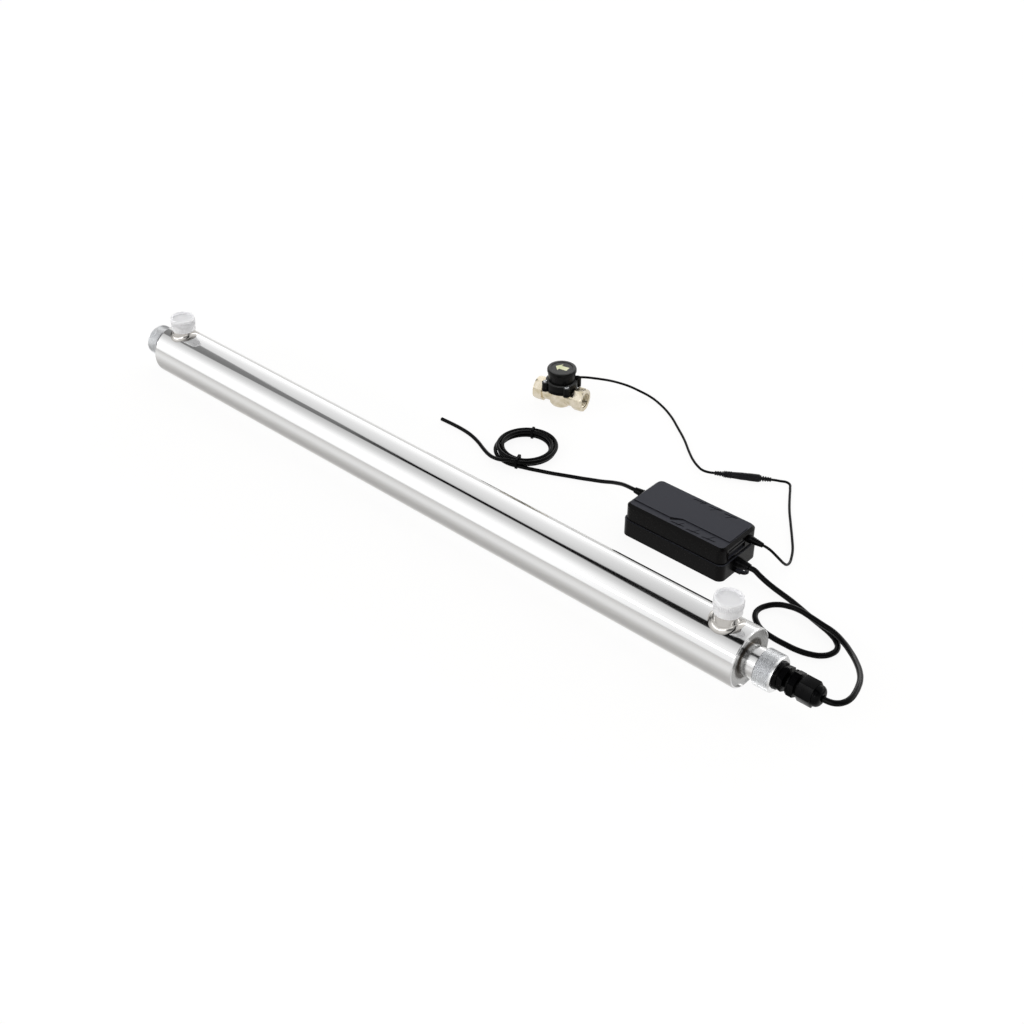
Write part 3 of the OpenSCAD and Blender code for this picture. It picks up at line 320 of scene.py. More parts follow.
def turned_aluminium():
    # Turned aluminium: bright lip and front, with painted shade in the grooves of the knurled skirt
    finish, node, place = new_finish("turned_aluminium", {"Metallic": 1.0})
    centred = node("Mapping", {"Vector": place, "Location": (0, 0, -AXIS_Z * MM)})
    axes = node("SeparateXYZ", (centred,))
    reach = node("Math", (axes.outputs["X"],), operation="ABSOLUTE")
    front = node("MapRange", (reach, (TUBE_END + 30.6) * MM, (TUBE_END + 31.2) * MM))
    across = node("VectorMath", (centred, (0, 1, 1)), operation="MULTIPLY")
    radius = node("VectorMath", (across,), operation="LENGTH")
    low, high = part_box("near_gland_nut")
    outer = (high.z - low.z) / 2
    tip = node("MapRange", (radius, outer, outer + 0.0003))
    # The front and the ridge tips keep the bright colour; the rest is painted darker as shade in
    # the grooves
    unshaded_tip_and_front = node("Math", (front, tip), operation="MAXIMUM")
    # Lathe rings 0.7 mm apart, drawn coarser than real ones so that they show
    rings = node("Mapping", {"Vector": place, "Scale": (1400, 4, 4)})
    lines = node("TexNoise", {"Vector": rings, "Scale": 1.0})
    return coat(finish, {
        "Base Color": node("Mix", {0: unshaded_tip_and_front, 6: linear("#B4B5B8"), 7: colours().aluminium},
                           data_type="RGBA"),
        "Roughness": node("MapRange", (lines, *NOISE_RANGE, 0.24, 0.36))})


def natural_polythene():
    # Unpigmented low-density polythene, moulded thin: milky, lets light through, waxy shine
    finish, node, place = new_finish("natural_polythene", {
        "Base Color": colours().polythene, "IOR": 1.51, "Transmission Weight": 0.05,
        "Subsurface Weight": 0.3, "Subsurface Radius": (0.004, 0.004, 0.004),
        "Subsurface Scale": 1.0})
    # Sink marks a few millimetres wide
    flow = node("TexNoise", {"Vector": place, "Scale": 260.0})
    return coat(finish, {
        "Roughness": node("MapRange", (flow, *NOISE_RANGE, 0.32, 0.46)),
        "Normal": node("Bump", {"Height": flow, "Strength": 0.15, "Distance": 0.0004})})


def moulded(name, base, light, grain, shine, bump, specular=0.5):
    # Moulded plastic or rubber: grain is the texture's width in metres, light its paler tint
    finish, node, place = new_finish(name, {"Specular IOR Level": specular})
    speck = node("TexNoise", {"Vector": place, "Scale": 1 / grain, "Detail": 3.0})
    cloud = node("TexNoise", {"Vector": place, "Scale": 0.06 / grain})
    patch = node("MapRange", (cloud, 0.35, 0.65))
    first, second = [linear(tone) if isinstance(tone, str) else tone for tone in (base, light)]
    return coat(finish, {
        "Base Color": node("Mix", {0: patch, 6: first, 7: second}, data_type="RGBA"),
        "Roughness": node("MapRange", (speck, *NOISE_RANGE, *shine)),
        "Normal": node("Bump", {"Height": speck, "Strength": bump, "Distance": 0.0003})})


def plated_brass():
    # Cast brass, blasted and plated pale: warm metal with a soft sandy grain
    finish, node, place = new_finish("plated_cast_brass", {"Metallic": 1.0})
    # Casting grain of about 0.7 mm
    sand = node("TexNoise", {"Vector": place, "Scale": 1400.0, "Detail": 3.0})
    cloud = node("TexNoise", {"Vector": place, "Scale": 120.0})
    patch = node("MapRange", (cloud, *NOISE_RANGE))
    return coat(finish, {
        "Base Color": node("Mix", {0: patch, 6: linear("#D2C6A8"), 7: colours().brass},
                           data_type="RGBA"),
        "Roughness": node("MapRange", (sand, *NOISE_RANGE, 0.12, 0.24)),
        "Normal": node("Bump", {"Height": sand, "Strength": 0.2, "Distance": 0.0003})})


def bright_metal(name, code, shine):
    # Plated or drawn small metal: even colour, slightly uneven shine
    finish, node, place = new_finish(name, {"Base Color": linear(code), "Metallic": 1.0})
    haze = node("TexNoise", {"Vector": place, "Scale": 900.0})
    return coat(finish, {"Roughness": node("MapRange", (haze, *NOISE_RANGE, *shine))})


def clear_quartz(name, code, transmission):
    # Fused quartz: clear, smooth, faint drawn streaks along the tube
    finish, node, place = new_finish(name, {"Base Color": linear(code), "IOR": 1.458,
                                            "Transmission Weight": transmission})
    along = node("Mapping", {"Vector": place, "Scale": (8, 700, 700)})
    streak = node("TexNoise", {"Vector": along, "Scale": 1.0})
    return coat(finish, {"Roughness": node("MapRange", (streak, 0, 1, 0.0, 0.06))})


def sheath_finish():
    # Extruded black PVC: even satin, with faint drag lines
    return bpy.data.materials.get("pvc_sheath") or moulded(
        "pvc_sheath", colours().sheath, "#050506", grain=0.0009, shine=(0.14, 0.22), bump=0.03,
        specular=0.08)


def nylon_finish(name, shine):
    # Glass-filled black nylon: dark, satin, faintly cloudy from the mould
    return moulded(name, colours().nylon, "#050506", grain=0.0008, shine=shine, bump=0.06,
                   specular=0.06)


def spread(ramp, stops):
    """Gives a colour ramp its stops: places from 0 to 1 and colours."""
    while len(ramp.elements) < len(stops):
        ramp.elements.new(0.5)
    for element, (place, shade) in zip(ramp.elements, stops):
        element.position = place
        element.color = (*shade, 1)


def mode(name):
    bpy.ops.object.mode_set(mode=name)


def choose(action):
    """Selects or deselects all of the piece in edit mode."""
    bpy.ops.mesh.select_all(action=action)


def apply_place():
    bpy.ops.object.transform_apply(location=True, rotation=True, scale=True)


def clear_selection():
    if bpy.context.mode != "OBJECT":
        mode("OBJECT")
    bpy.ops.object.select_all(action="DESELECT")


def only(piece):
    """Selects one piece and makes it active."""
    clear_selection()
    piece.select_set(True)
    bpy.context.view_layer.objects.active = piece


def begin(shape, **settings):
    """Adds a primitive, applies its place and opens it for editing, all of it selected."""
    clear_selection()
    getattr(bpy.ops.mesh, f"primitive_{shape}_add")(**settings)
    apply_place()
    mode("EDIT")
    choose("SELECT")
    return bpy.context.active_object


def close_form():
    """Turns every face of the piece in edit mode outwards, and leaves edit mode."""
    choose("SELECT")
    bpy.ops.mesh.normals_make_consistent(inside=False)
    mode("OBJECT")


def select_faces(piece, test):
    """In edit mode, selects the faces whose normal passes a test."""
    choose("DESELECT")
    mode("OBJECT")
    for face in piece.data.polygons:
        face.select = test(face.normal)
    mode("EDIT")


def soften(radius, segments):
    bpy.ops.mesh.bevel(offset=radius, segments=segments, affect="EDGES")


def turn_about_x(angle, centre):
    bpy.ops.transform.rotate(value=angle, orient_axis="X", center_override=centre)


def extrude(*step):
    bpy.ops.mesh.extrude_region_move(TRANSFORM_OT_translate={"value": step})


def draw_out(rings, way, centre):
    """Extrudes the selected ring through rings of radius and place along an axis."""
    for (radius, place), (wide, further) in zip(rings, rings[1:]):
        extrude(*[part * (further - place) for part in way])
        bpy.ops.transform.resize(value=[1 if part else wide / radius for part in way],
                                 center_override=centre)


def copy_round(count, centre, axis):
    """Copies what is selected round an axis, to a count in all."""
    choose("SELECT")
    bpy.ops.mesh.spin(steps=count - 1, dupli=True, angle=2 * math.pi * (count - 1) / count,
                      center=centre, axis=axis)
    mode("OBJECT")


def join(pieces):
    """Makes several pieces one."""
    only(pieces[0])
    for piece in pieces:
        piece.select_set(True)
    bpy.ops.object.join()
    return pieces[0]


def settle(piece, name, finish, body, slot, *nodes):
    """Applies a piece's place, names and finishes it, and lets it ride, in place of CAD nodes."""
    only(piece)
    apply_place()
    piece.name = piece.data.name = name
    piece.data.materials.clear()
    piece.data.materials.append(bpy.data.materials[finish])
    bpy.ops.object.shade_smooth_by_angle(angle=math.radians(SMOOTH_UNDER))
    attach(piece, body)
    if nodes:
        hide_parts(*nodes)
    return piece


def apply_modifier(piece, kind, **settings):
    only(piece)
    made = piece.modifiers.new(kind.title(), kind)
    for key, value in settings.items():
        setattr(made, key, value)
    bpy.ops.object.modifier_apply(modifier=made.name)


def wind(name, radius, pitch, wire, turns, place, heading, finish, slot):
    """Winds a thread along X, with wire in parts of the pitch, and turns it to its heading."""
    thread = begin("circle", vertices=4, radius=pitch * wire, fill_type="NOTHING",
                   location=(0, 0, radius))
    turn_about_x(math.pi / 2, (0, 0, radius))
    mode("OBJECT")
    apply_modifier(thread, "SCREW", axis="X", angle=2 * math.pi, screw_offset=pitch,
                   iterations=turns, steps=40, render_steps=40, use_normal_calculate=True,
                   use_merge_vertices=False)
    mode("EDIT")
    choose("SELECT")
    bpy.ops.mesh.fill_holes(sides=4)
    close_form()
    thread.rotation_euler = (0, 0, math.radians(heading))
    thread.location = Vector(place) * MM
    settle(thread, name, finish, "chamber", slot)


def on_circle(centre, angle, radius, z):
    turn = math.radians(angle)
    return (centre[0] + radius * math.cos(turn), centre[1] + radius * math.sin(turn), z)


def from_boot(boot, reaches):
    """Points straight out of one of the ballast's boots."""
    return [(BALLAST_AT[0] + boot[0] + u, BALLAST_AT[1] + boot[1], boot[2]) for u in reaches]


def from_connector(reaches):
    """Points along the connector's line, from its middle."""
    return [on_circle(CONNECTOR_AT, CONNECTOR_TURN, u, CONNECTOR_Z) for u in reaches]


def coil_point(turn):
    """Place on the mains cord's coil: in on the lower layer, a climb, and out on the upper."""
    depth = min(turn, COIL_TURNS - turn)
    rise = max(0.0, min(1.0, (turn - COIL_TURNS / 2) * 2 + 0.5))
    rise = rise * rise * (3 - 2 * rise)
    return on_circle(COIL_AT, COIL_FROM - 360 * turn, COIL_R - COIL_STEP * depth,
                     COIL_Z + COIL_STEP * rise)


def lay_cord(name, nodes, route, diameter, steps, **facts):
    """Lays a round cord through a route in millimetres, in place of its CAD nodes."""
    line = bpy.data.curves.new(name, "CURVE")
    line.dimensions = "3D"
    line.resolution_u = line.render_resolution_u = steps
    line.bevel_depth = diameter / 2
    line.bevel_resolution = 5
    line.use_fill_caps = True
    spline = line.splines.new("BEZIER")
    spline.bezier_points.add(len(route) - 1)
    for knot, place in zip(spline.bezier_points, route):
        knot.co = Vector(place) * MM
        knot.handle_left_type = knot.handle_right_type = "AUTO"
    line.materials.append(sheath_finish())
    cord = bpy.data.objects.new(name, line)
    bpy.context.scene.collection.objects.link(cord)
    bpy.context.view_layer.update()
    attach(cord, "chamber")
    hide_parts(*nodes)


class CLARIFIER_OT_camera(Operator):
    """Puts the camera at the photograph's place"""

    bl_idname = "clarifier.camera"
    bl_label = "Camera"

    def execute(self, context):
        data = bpy.data.cameras.new("camera")
        data.lens = 50
        data.sensor_width = 36
        data.clip_end = 50
        camera = bpy.data.objects.new("camera", data)
        context.scene.collection.objects.link(camera)
        camera.location = (0.93797, -0.88723, 0.92958)
        look = Vector((-0.54056924, 0.59922538, -0.59051998))
        camera.rotation_euler = look.to_track_quat("-Z", "Y").to_euler()
        context.scene.camera = camera
        return {"FINISHED"}


class CLARIFIER_OT_lamp_cord(Operator):
    """Lays the lamp cord from the ballast, round its loop and into the cable gland"""

    bl_idname = "clarifier.lamp_cord"
    bl_label = "Lamp cord"

    def execute(self, context):
        d = sizes().lamp_cord
        mouth, seat = 49.5, 36.7
        route = from_boot(LAMP_BOOT, (CORD_GAP, d / MM)) + LAMP_ROUTE
        route += [(GLAND_FROM + u, 0, AXIS_Z) for u in (mouth, seat)]
        lay_cord("lamp_cord_sheath", ["lamp_cord"], route, d, steps=6, far_end="object",
                 lay="loose")
        return {"FINISHED"}


class CLARIFIER_OT_mains_cord(Operator):
    """Lays the mains cord from the ballast through its tied coil to its cut end"""

    bl_idname = "clarifier.mains_cord"
    bl_label = "Mains cord"

    def execute(self, context):
        d, per_turn = sizes().mains_cord / MM, 24
        turn = math.radians(COIL_FROM)
        heading = Vector((math.sin(turn), -math.cos(turn), 0))
        first = Vector(coil_point(0)) - d * heading
        last = Vector(coil_point(COIL_TURNS)) + d * heading
        route = from_boot(MAINS_BOOT, (-CORD_GAP, -d)) + MAINS_ROUTE
        route += [first - d * heading, first]
        route += [coil_point(i / per_turn) for i in range(per_turn * COIL_TURNS + 1)]
        route += [last, last + d * heading] + MAINS_END_ROUTE
        lay_cord("mains_cord_sheath", ["mains_cord", "mains_coil", "mains_cord_end"], route,
                 sizes().mains_cord, steps=3, far_end="bare", lay="coiled",
                 with_pieces=[NODES["coil_ties"]])
        return {"FINISHED"}


class CLARIFIER_OT_sensor_cords(Operator):
    """Lays the flow switch's cord to its connector, and the pigtail on to the ballast"""

    bl_idname = "clarifier.sensor_cords"
    bl_label = "Sensor cords"

    def execute(self, context):
        d = sizes().sensor_cord / MM
        # Unfilled black nylon: a little paler and more matt than the gland's
        nylon = moulded("connector_nylon", "#131315", "#1D1D20", grain=0.0009, shine=(0.34, 0.48),
                        bump=0.08, specular=0.12)
        dress(nylon, "sensor_plug", "sensor_socket")
        # The plug's grip is five rings, each a little wider than the one before
        first, pitch, ring, wider, wire = -21, 1.9, 0.0033, 0.00006, 0.0007
        rings = []
        for k, place in enumerate(from_connector([pitch * k + first for k in range(5)])):
            clear_selection()
            bpy.ops.mesh.primitive_torus_add(
                major_segments=40, minor_segments=10, major_radius=ring + wider * k,
                minor_radius=wire, location=Vector(place) * MM,
                rotation=(0, math.pi / 2, math.radians(CONNECTOR_TURN)))
            rings.append(context.active_object)
        grip = settle(join(rings), "plug_grip", "connector_nylon", "chamber", "black_nylon")
        reach, height = FLOW_BOOT
        route = [on_circle(FLOW_AT, FLOW_CORD_ANGLE, reach + u, height) for u in (CORD_GAP, d)]
        route += SENSOR_ROUTE
        route += from_connector((-CONNECTOR_HALF - 2 * d, -CONNECTOR_HALF - CORD_GAP))
        lay_cord("sensor_cord_sheath", ["sensor_cord"], route, sizes().sensor_cord, steps=6,
                 far_end="connector", lay="loose", with_pieces=[NODES["sensor_plug"], grip])
        route = from_boot(SENSOR_BOOT, (CORD_GAP, d)) + PIGTAIL_ROUTE[::-1]
        route += from_connector((CONNECTOR_HALF + d, CONNECTOR_HALF + CORD_GAP))
        lay_cord("sensor_pigtail_sheath", ["sensor_pigtail"], route, sizes().sensor_cord, steps=6,
                 far_end="connector", lay="loose", with_pieces=[NODES["sensor_socket"]])
        return {"FINISHED"}


class CLARIFIER_OT_chamber(Operator):
    """Finishes the chamber, its ports, end fittings, seals and caps"""

    bl_idname = "clarifier.chamber"
    bl_label = "Chamber"

    def execute(self, context):
        dress(polished_stainless(), "chamber_tube")
        # Lathe rings 0.7 mm apart, drawn coarser than real ones so that they show
        dress(turned_stainless("turned_stainless_port", linear("#BFBCB8"), scale=(4, 4, 1400),
                               shine=(0.08, 0.15)), "inlet_port", "outlet_port")
        dress(turned_stainless("turned_stainless_nipple", colours().stainless, scale=(1400, 4, 4),
                               shine=(0.12, 0.22)), "far_nipple", "near_nipple")
        dress(welded_plate(), "far_end_plate", "near_end_plate")
        dress(turned_aluminium(), "far_gland_nut", "near_gland_nut")
        dress(natural_polythene(), "inlet_cap", "outlet_cap")
        # Pressed nitrile rubber: dark grey and matt
        dress(moulded("nitrile_rubber", "#191A1B", "#222325", grain=0.0007, shine=(0.5, 0.65),
                      bump=0.12),
              "far_seal_ring", "near_seal_ring", "gland_seal", "flow_gasket")
        # Turned white acetal: clean, with a low sheen
        dress(moulded("white_acetal", "#E6E6E2", "#DEDEDA", grain=0.0012, shine=(0.3, 0.42),
                      bump=0.05),
              "far_thrust_ring", "near_thrust_ring", "far_slip_washer", "near_slip_washer",
              "flow_paddle")
        return {"FINISHED"}


class CLARIFIER_OT_ports(Operator):
    """Forms the two ports, each drawn out of the tube's skin in one smooth saddle"""

    bl_idname = "clarifier.ports"
    bl_label = "Ports"

    def execute(self, context):
        fillet, axis = sizes().port_fillet, AXIS_Z * MM
        neck, bore, lip, proud = 0.01335, 0.0104, 0.0005, 0.00005
        for port in ("inlet_port", "outlet_port"):
            low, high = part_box(port)
            x = (low.x + high.x) / 2
            top = high.z - 2 * axis
            turns = [math.pi / 2 * k / 10 for k in range(11)]
            rings = [(neck + fillet * (1 - math.sin(a)), fillet * (1 - math.cos(a)))
                     for a in turns]
            rings += [(neck, top - lip), (neck - lip / 3, top - lip / 3), (neck - lip, top),
                      (bore + lip, top), (bore, top - lip), (bore, fillet + lip), (bore, 0.0)]
            piece = begin("circle", vertices=96, radius=rings[0][0], fill_type="NOTHING",
                          location=(x, 0, 0))
            draw_out(rings, (0, 0, 1), (x, 0, 0))
            choose("DESELECT")
            bpy.ops.mesh.select_non_manifold()
            bpy.ops.mesh.bridge_edge_loops()
            close_form()
            # The foot follows the tube's round skin, and the lip stays level
            for vertex in piece.data.vertices:
                skin = math.sqrt(axis ** 2 - vertex.co.y ** 2) + axis + proud
                vertex.co.z += skin if vertex.co.z < fillet + NEAR else 2 * axis
            settle(piece, port + "_saddle", "turned_stainless_port", "chamber", "stainless", port)
        return {"FINISHED"}


class CLARIFIER_OT_cap_ribs(Operator):
    """Moulds a ring of fine upright grip ribs round each cap's skirt"""

    bl_idname = "clarifier.cap_ribs"
    bl_label = "Cap ribs"

    def execute(self, context):
        s = sizes()
        skirt, lift, width, soft = 0.01445, 0.007, 0.0007, 0.0003
        for cap in ("inlet_cap", "outlet_cap"):
            low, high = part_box(cap)
            x, foot = (low.x + high.x) / 2, low.z + lift
            rib = begin("cube", size=1, location=(x + skirt, 0, foot + s.cap_rib_height / 2),
                        scale=(2 * s.cap_rib_depth, width, s.cap_rib_height))
            soften(soft, 2)
            copy_round(s.cap_ribs, (x, 0, foot), (0, 0, 1))
            settle(rib, cap + "_ribs", "natural_polythene", cap, "cap_polythene")
        return {"FINISHED"}


class CLARIFIER_OT_knurls(Operator):
    """Rolls the diamond knurl round the skirts of the two gland nuts"""

    bl_idname = "clarifier.knurls"
    bl_label = "Knurls"

    def execute(self, context):
        ridge, flat, steps = 0.0009, 0.35, 10
        # The knurl stops short of each nut's two ends
        for nut, body, left, right in (("far_gland_nut", "far_nut", 0.0018, 0.001),
                                       ("near_gland_nut", "near_nut", 0.001, 0.0018)):
            low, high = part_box(nut)
            radius = (high.z - low.z) / 2
            start, length = low.x + left, high.x - low.x - left - right
            axis = Vector((start, 0, AXIS_Z * MM))
            count = round(2 * math.pi * radius / sizes().knurl)
            hands = []
            for hand in (1, -1):
                hands.append(begin("circle", vertices=3, radius=ridge, fill_type="NGON",
                                   location=(start, 0, axis.z + radius), scale=(1, flat, 1),
                                   rotation=(math.pi / 2, 0, math.pi / 2)))
                # One hand starts between the other's ridges, and each climbs at forty-five degrees
                turn_about_x((1 - hand) * math.pi / 2 / count, axis)
                for _ in range(steps):
                    extrude(length / steps, 0, 0)
                    turn_about_x(hand * length / steps / radius, axis)
                choose("SELECT")
                bpy.ops.mesh.normals_make_consistent(inside=False)
                copy_round(count, axis, (1, 0, 0))
            settle(join(hands), body + "_knurl", "turned_aluminium", body, "nut_aluminium")
        return {"FINISHED"}


class CLARIFIER_OT_lamp(Operator):
    """Finishes the lamp, its sleeve, bases, pins and socket"""

    bl_idname = "clarifier.lamp"
    bl_label = "Lamp"

    def execute(self, context):
        dress(clear_quartz("fused_quartz_sleeve", "#F6F8F9", transmission=0.96), "quartz_sleeve")
        dress(clear_quartz("lamp_quartz", "#EEF1F4", transmission=0.9), "lamp_glass")
        # Fired steatite: off-white and slightly chalky
        dress(moulded("steatite_ceramic", "#E9E6DE", "#E1DDD3", grain=0.0009, shine=(0.4, 0.55),
                      bump=0.1),
              "far_lamp_base", "near_lamp_base", "lamp_socket")
        dress(bright_metal("plated_pin_brass", "#C9B37A", shine=(0.18, 0.3)), "lamp_pins")
        return {"FINISHED"}


class CLARIFIER_OT_gland(Operator):
    """Finishes the lamp plug and the cable gland"""

    bl_idname = "clarifier.gland"
    bl_label = "Cable gland"

    def execute(self, context):
        dress(nylon_finish("gland_nylon", shine=(0.16, 0.28)), "lamp_plug", "gland_lock_nut",
              "gland_washer", "gland_body", "gland_dome_nut")
        return {"FINISHED"}


class CLARIFIER_OT_dome_nut(Operator):
    """Makes the gland's dome nut: a hexagon that ends in a round nose about the cord"""

    bl_idname = "clarifier.dome_nut"
    bl_label = "Dome nut"

    def execute(self, context):
        low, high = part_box("gland_dome_nut")
        axis = Vector((0, 0, AXIS_Z * MM))
        hexagon, corner, shoulder = 0.0155, 0.01375, 0.0012
        nut = begin("cylinder", vertices=6, radius=corner, depth=hexagon,
                    location=(low.x + hexagon / 2, 0, axis.z), rotation=(0, math.pi / 2, 0))
        soften(0.0005, 2)
        # The nose is drawn out ring by ring, and turns in round the cord
        reach = high.x - low.x - hexagon
        rings = [(0.0112, -0.001), (0.0112, 0.0008), (0.0109, shoulder)]
        rings += [(0.0052 + 0.0057 * math.cos(a), shoulder + (reach - shoulder) * math.sin(a))
                  for a in (0.25, 0.5, 0.75, 1.0, 1.25, 1.45, 1.57)]
        rings += [(0.0040, reach), (0.0036, reach - 0.0004), (0.0036, reach - 0.004)]
        nose = begin("circle", vertices=48, radius=rings[0][0], fill_type="NGON",
                     location=(low.x + hexagon + rings[0][1], 0, axis.z),
                     rotation=(0, math.pi / 2, 0))
        draw_out(rings, (1, 0, 0), axis)
        close_form()
        settle(join([nut, nose]), "dome_nut", "gland_nylon", "chamber", "black_nylon",
               "gland_dome_nut")
        return {"FINISHED"}


class CLARIFIER_OT_gland_thread(Operator):
    """Winds the thread that shows between the lock nut and the washer"""

    bl_idname = "clarifier.gland_thread"
    bl_label = "Gland thread"

    def execute(self, context):
        wind("gland_thread", radius=0.00795, pitch=sizes().gland_pitch, wire=0.42, turns=2,
             place=(GLAND_FROM + 6.75, 0, AXIS_Z), heading=0, finish="gland_nylon",
             slot="black_nylon")
        return {"FINISHED"}


class CLARIFIER_OT_ballast(Operator):
    """Finishes the ballast's housing, its inner parts and its cord boots"""

    bl_idname = "clarifier.ballast"
    bl_label = "Ballast"

    def execute(self, context):
        # The cover's top is painted paler than its sides: painted light
        dress(grained_with_lit_top("grained_abs_lit_top", colours().housing, colours().lit_cover_top), "ballast_base",
              "ballast_cover")
        # Textured ABS: a flat dark grey
        dress(moulded("end_panel_abs", "#1A1A1C", "#202023", grain=0.0009, shine=(0.4, 0.55),
                      bump=0.2, specular=0.2), "ballast_end_panel")
        # Soft moulded PVC: black, with a dull shine
        dress(moulded("boot_pvc", "#040405", "#080809", grain=0.0009, shine=(0.22, 0.34),
                      bump=0.08, specular=0.1),
              "mains_boot", "lamp_boot", "sensor_boot", "flow_cord_boot")
        # Glass-epoxy board under green resist, with the weave faintly showing
        dress(moulded("board_laminate", "#1F4F2E", "#2A6138", grain=0.0006, shine=(0.25, 0.4),
                      bump=0.12), "ballast_board")
        # Ferrite wrapped in brown tape: dull and uneven
        dress(moulded("ferrite_and_tape", "#4A3226", "#5A3F2F", grain=0.0012, shine=(0.4, 0.6),
                      bump=0.15), "ballast_choke")
        # Shrunk plastic sleeve: smooth dark blue
        dress(moulded("capacitor_sleeve", "#1B2440", "#222D4E", grain=0.0012, shine=(0.2, 0.32),
                      bump=0.05), "ballast_capacitors")
        dress(bright_metal("zinc_plated_steel", "#D4D6D8", shine=(0.14, 0.28)),
              "ballast_screws", "flow_screws")
        dress(nylon_finish("tie_nylon", shine=(0.3, 0.45)), "coil_ties")
        return {"FINISHED"}


class CLARIFIER_OT_ballast_trim(Operator):
    """Moulds the leaf-shaped ribs on the ballast's cover, and lays a thin black plate of painted
    shade at the notch where its panel draws in
    """

    bl_idname = "clarifier.ballast_trim"
    bl_label = "Ballast trim"

    def execute(self, context):
        sunk = 0.0009
        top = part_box("ballast_cover")[1].z - sunk
        # Places of the ribs from the ballast's middle, in millimetres
        leaves = [(2.6, -22.6), (21.6, -22.0), (40.8, -20.8), (-2.4, 23), (14.6, 23.2),
                  (34.6, 22.4)]
        leaf, lean_left, lean_right = (0.011, 0.0024, 0.0007), 50, 60
        first = begin("cube", size=1, scale=leaf)
        select_faces(first, lambda normal: abs(normal.x) > SQUARE)
        bpy.ops.transform.resize(value=(1, 0.3, 1), center_override=(0, 0, 0))
        select_faces(first, lambda normal: normal.z > SQUARE)
        bpy.ops.transform.resize(value=(0.9, 0.4, 1), center_override=(0, 0, 0))
        choose("SELECT")
        soften(0.00012, 2)
        mode("OBJECT")
        ribs = []
        for x, y in leaves:
            rib = first.copy()
            rib.data = first.data.copy()
            context.scene.collection.objects.link(rib)
            rib.location = ((BALLAST_AT[0] + x) * MM, (BALLAST_AT[1] + y) * MM, top)
            rib.rotation_euler = (0, 0, math.radians(lean_right if y < 0 else lean_left))
            ribs.append(rib)
        bpy.data.objects.remove(first)
        settle(join(ribs), "cover_leaf_ribs", "grained_abs_lit_top", "chamber", "ballast_plastic")
        # The black plate of painted shade at the notch tapers to one side
        long, wide, high = 0.014, 0.0026, 0.0003
        notch_shade_plate = begin("cube", size=1, scale=(long, wide, high))
        select_faces(notch_shade_plate, lambda normal: normal.x > SQUARE)
        bpy.ops.transform.resize(value=(1, 0.2, 1), center_override=(0, wide / 2, 0))
        choose("SELECT")
        soften(0.0001, 1)
        mode("OBJECT")
        notch_shade_plate.location = ((BALLAST_AT[0] - 4.6) * MM, (BALLAST_AT[1] - 18.9) * MM, top)
        notch_shade_plate.rotation_euler = (0, 0, math.atan2(6, 12))
        # The plate is plain deep black with no grain: painted shade where the panel draws in
        moulded("notch_painted_shade", "#020202", "#040404", grain=0.0012, shine=(0.5, 0.6),
                bump=0.02, specular=0.05)
        settle(notch_shade_plate, "cover_notch_shade", "notch_painted_shade", "chamber", "ballast_plastic")
        return {"FINISHED"}


class CLARIFIER_OT_flow_switch(Operator):
    """Finishes the flow switch's body, cover and mechanism"""

    bl_idname = "clarifier.flow_switch"
    bl_label = "Flow switch"

    def execute(self, context):
        dress(plated_brass(), "flow_body")
        # The switch cover's top is painted paler than its sides: painted light
        dress(grained_with_lit_top("switch_nylon_lit_top", linear("#0D0D0D"), linear("#4C4C4C")), "flow_cover")
        dress(nylon_finish("clamp_nylon", shine=(0.24, 0.36)), "flow_clamp_ring")
        dress(bright_metal("ground_stainless_pin", "#C9CBCD", shine=(0.12, 0.22)), "paddle_pin")
        dress(bright_metal("sintered_magnet", "#7E8083", shine=(0.3, 0.45)), "paddle_magnet")
        dress(clear_quartz("reed_glass", "#DCEBE6", transmission=0.9), "reed_switch")
        return {"FINISHED"}


class CLARIFIER_OT_flow_screws(Operator):
    """Makes the flow switch's four cross-recessed screws"""

    bl_idname = "clarifier.flow_screws"
    bl_label = "Flow switch screws"

    def execute(self, context):
        low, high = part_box("flow_screws")
        foot, top = low.z, high.z
        reach, head, seat = 20.7, 0.0018, top - 0.0017
        pan, rounding, core, recess = 0.0026, 0.0009, 0.0014, (0.003, 0.0007, 0.0022)
        x, y, _ = Vector(on_circle(FLOW_AT, FLOW_TURN + 45, reach, 0)) * MM
        # Pan head: the top edge is rounded over
        screw = begin("cylinder", vertices=32, radius=pan, depth=head,
                      location=(x, y, top - head / 2))
        select_faces(screw, lambda normal: normal.z > SQUARE)
        soften(rounding, 4)
        for angle in (0.5, math.pi / 2 + 0.5):
            clear_selection()
            bpy.ops.mesh.primitive_cube_add(size=1, location=(x, y, top), rotation=(0, 0, angle),
                                            scale=recess)
            blade = context.active_object
            apply_modifier(screw, "BOOLEAN", operation="DIFFERENCE", object=blade, solver="EXACT")
            bpy.data.objects.remove(blade)
        # Shank down through the lug and the clamp ring
        shank = begin("cylinder", vertices=24, radius=core, depth=seat - foot,
                      location=(x, y, (seat + foot) / 2))
        select_faces(shank, lambda normal: normal.z < -SQUARE)
        soften(0.0004, 1)
        join([screw, shank])
        mode("EDIT")
        copy_round(4, (FLOW_AT[0] * MM, FLOW_AT[1] * MM, 0), (0, 0, 1))
        settle(screw, "flow_screw_set", "zinc_plated_steel", "chamber", "screw_steel",
               "flow_screws")
        return {"FINISHED"}


class CLARIFIER_OT_flow_threads(Operator):
    """Winds the pipe threads in the flow switch's two mouths"""

    bl_idname = "clarifier.flow_threads"
    bl_label = "Flow switch threads"

    def execute(self, context):
        for name, turn in (("flow_in_thread", FLOW_TURN), ("flow_out_thread", FLOW_TURN + 180)):
            wind(name, radius=0.0094, pitch=sizes().pipe_pitch, wire=0.38, turns=4,
                 place=on_circle(FLOW_AT, turn, 24.2, FLOW_Z), heading=turn,
                 finish="plated_cast_brass", slot="pale_brass")
        return {"FINISHED"}


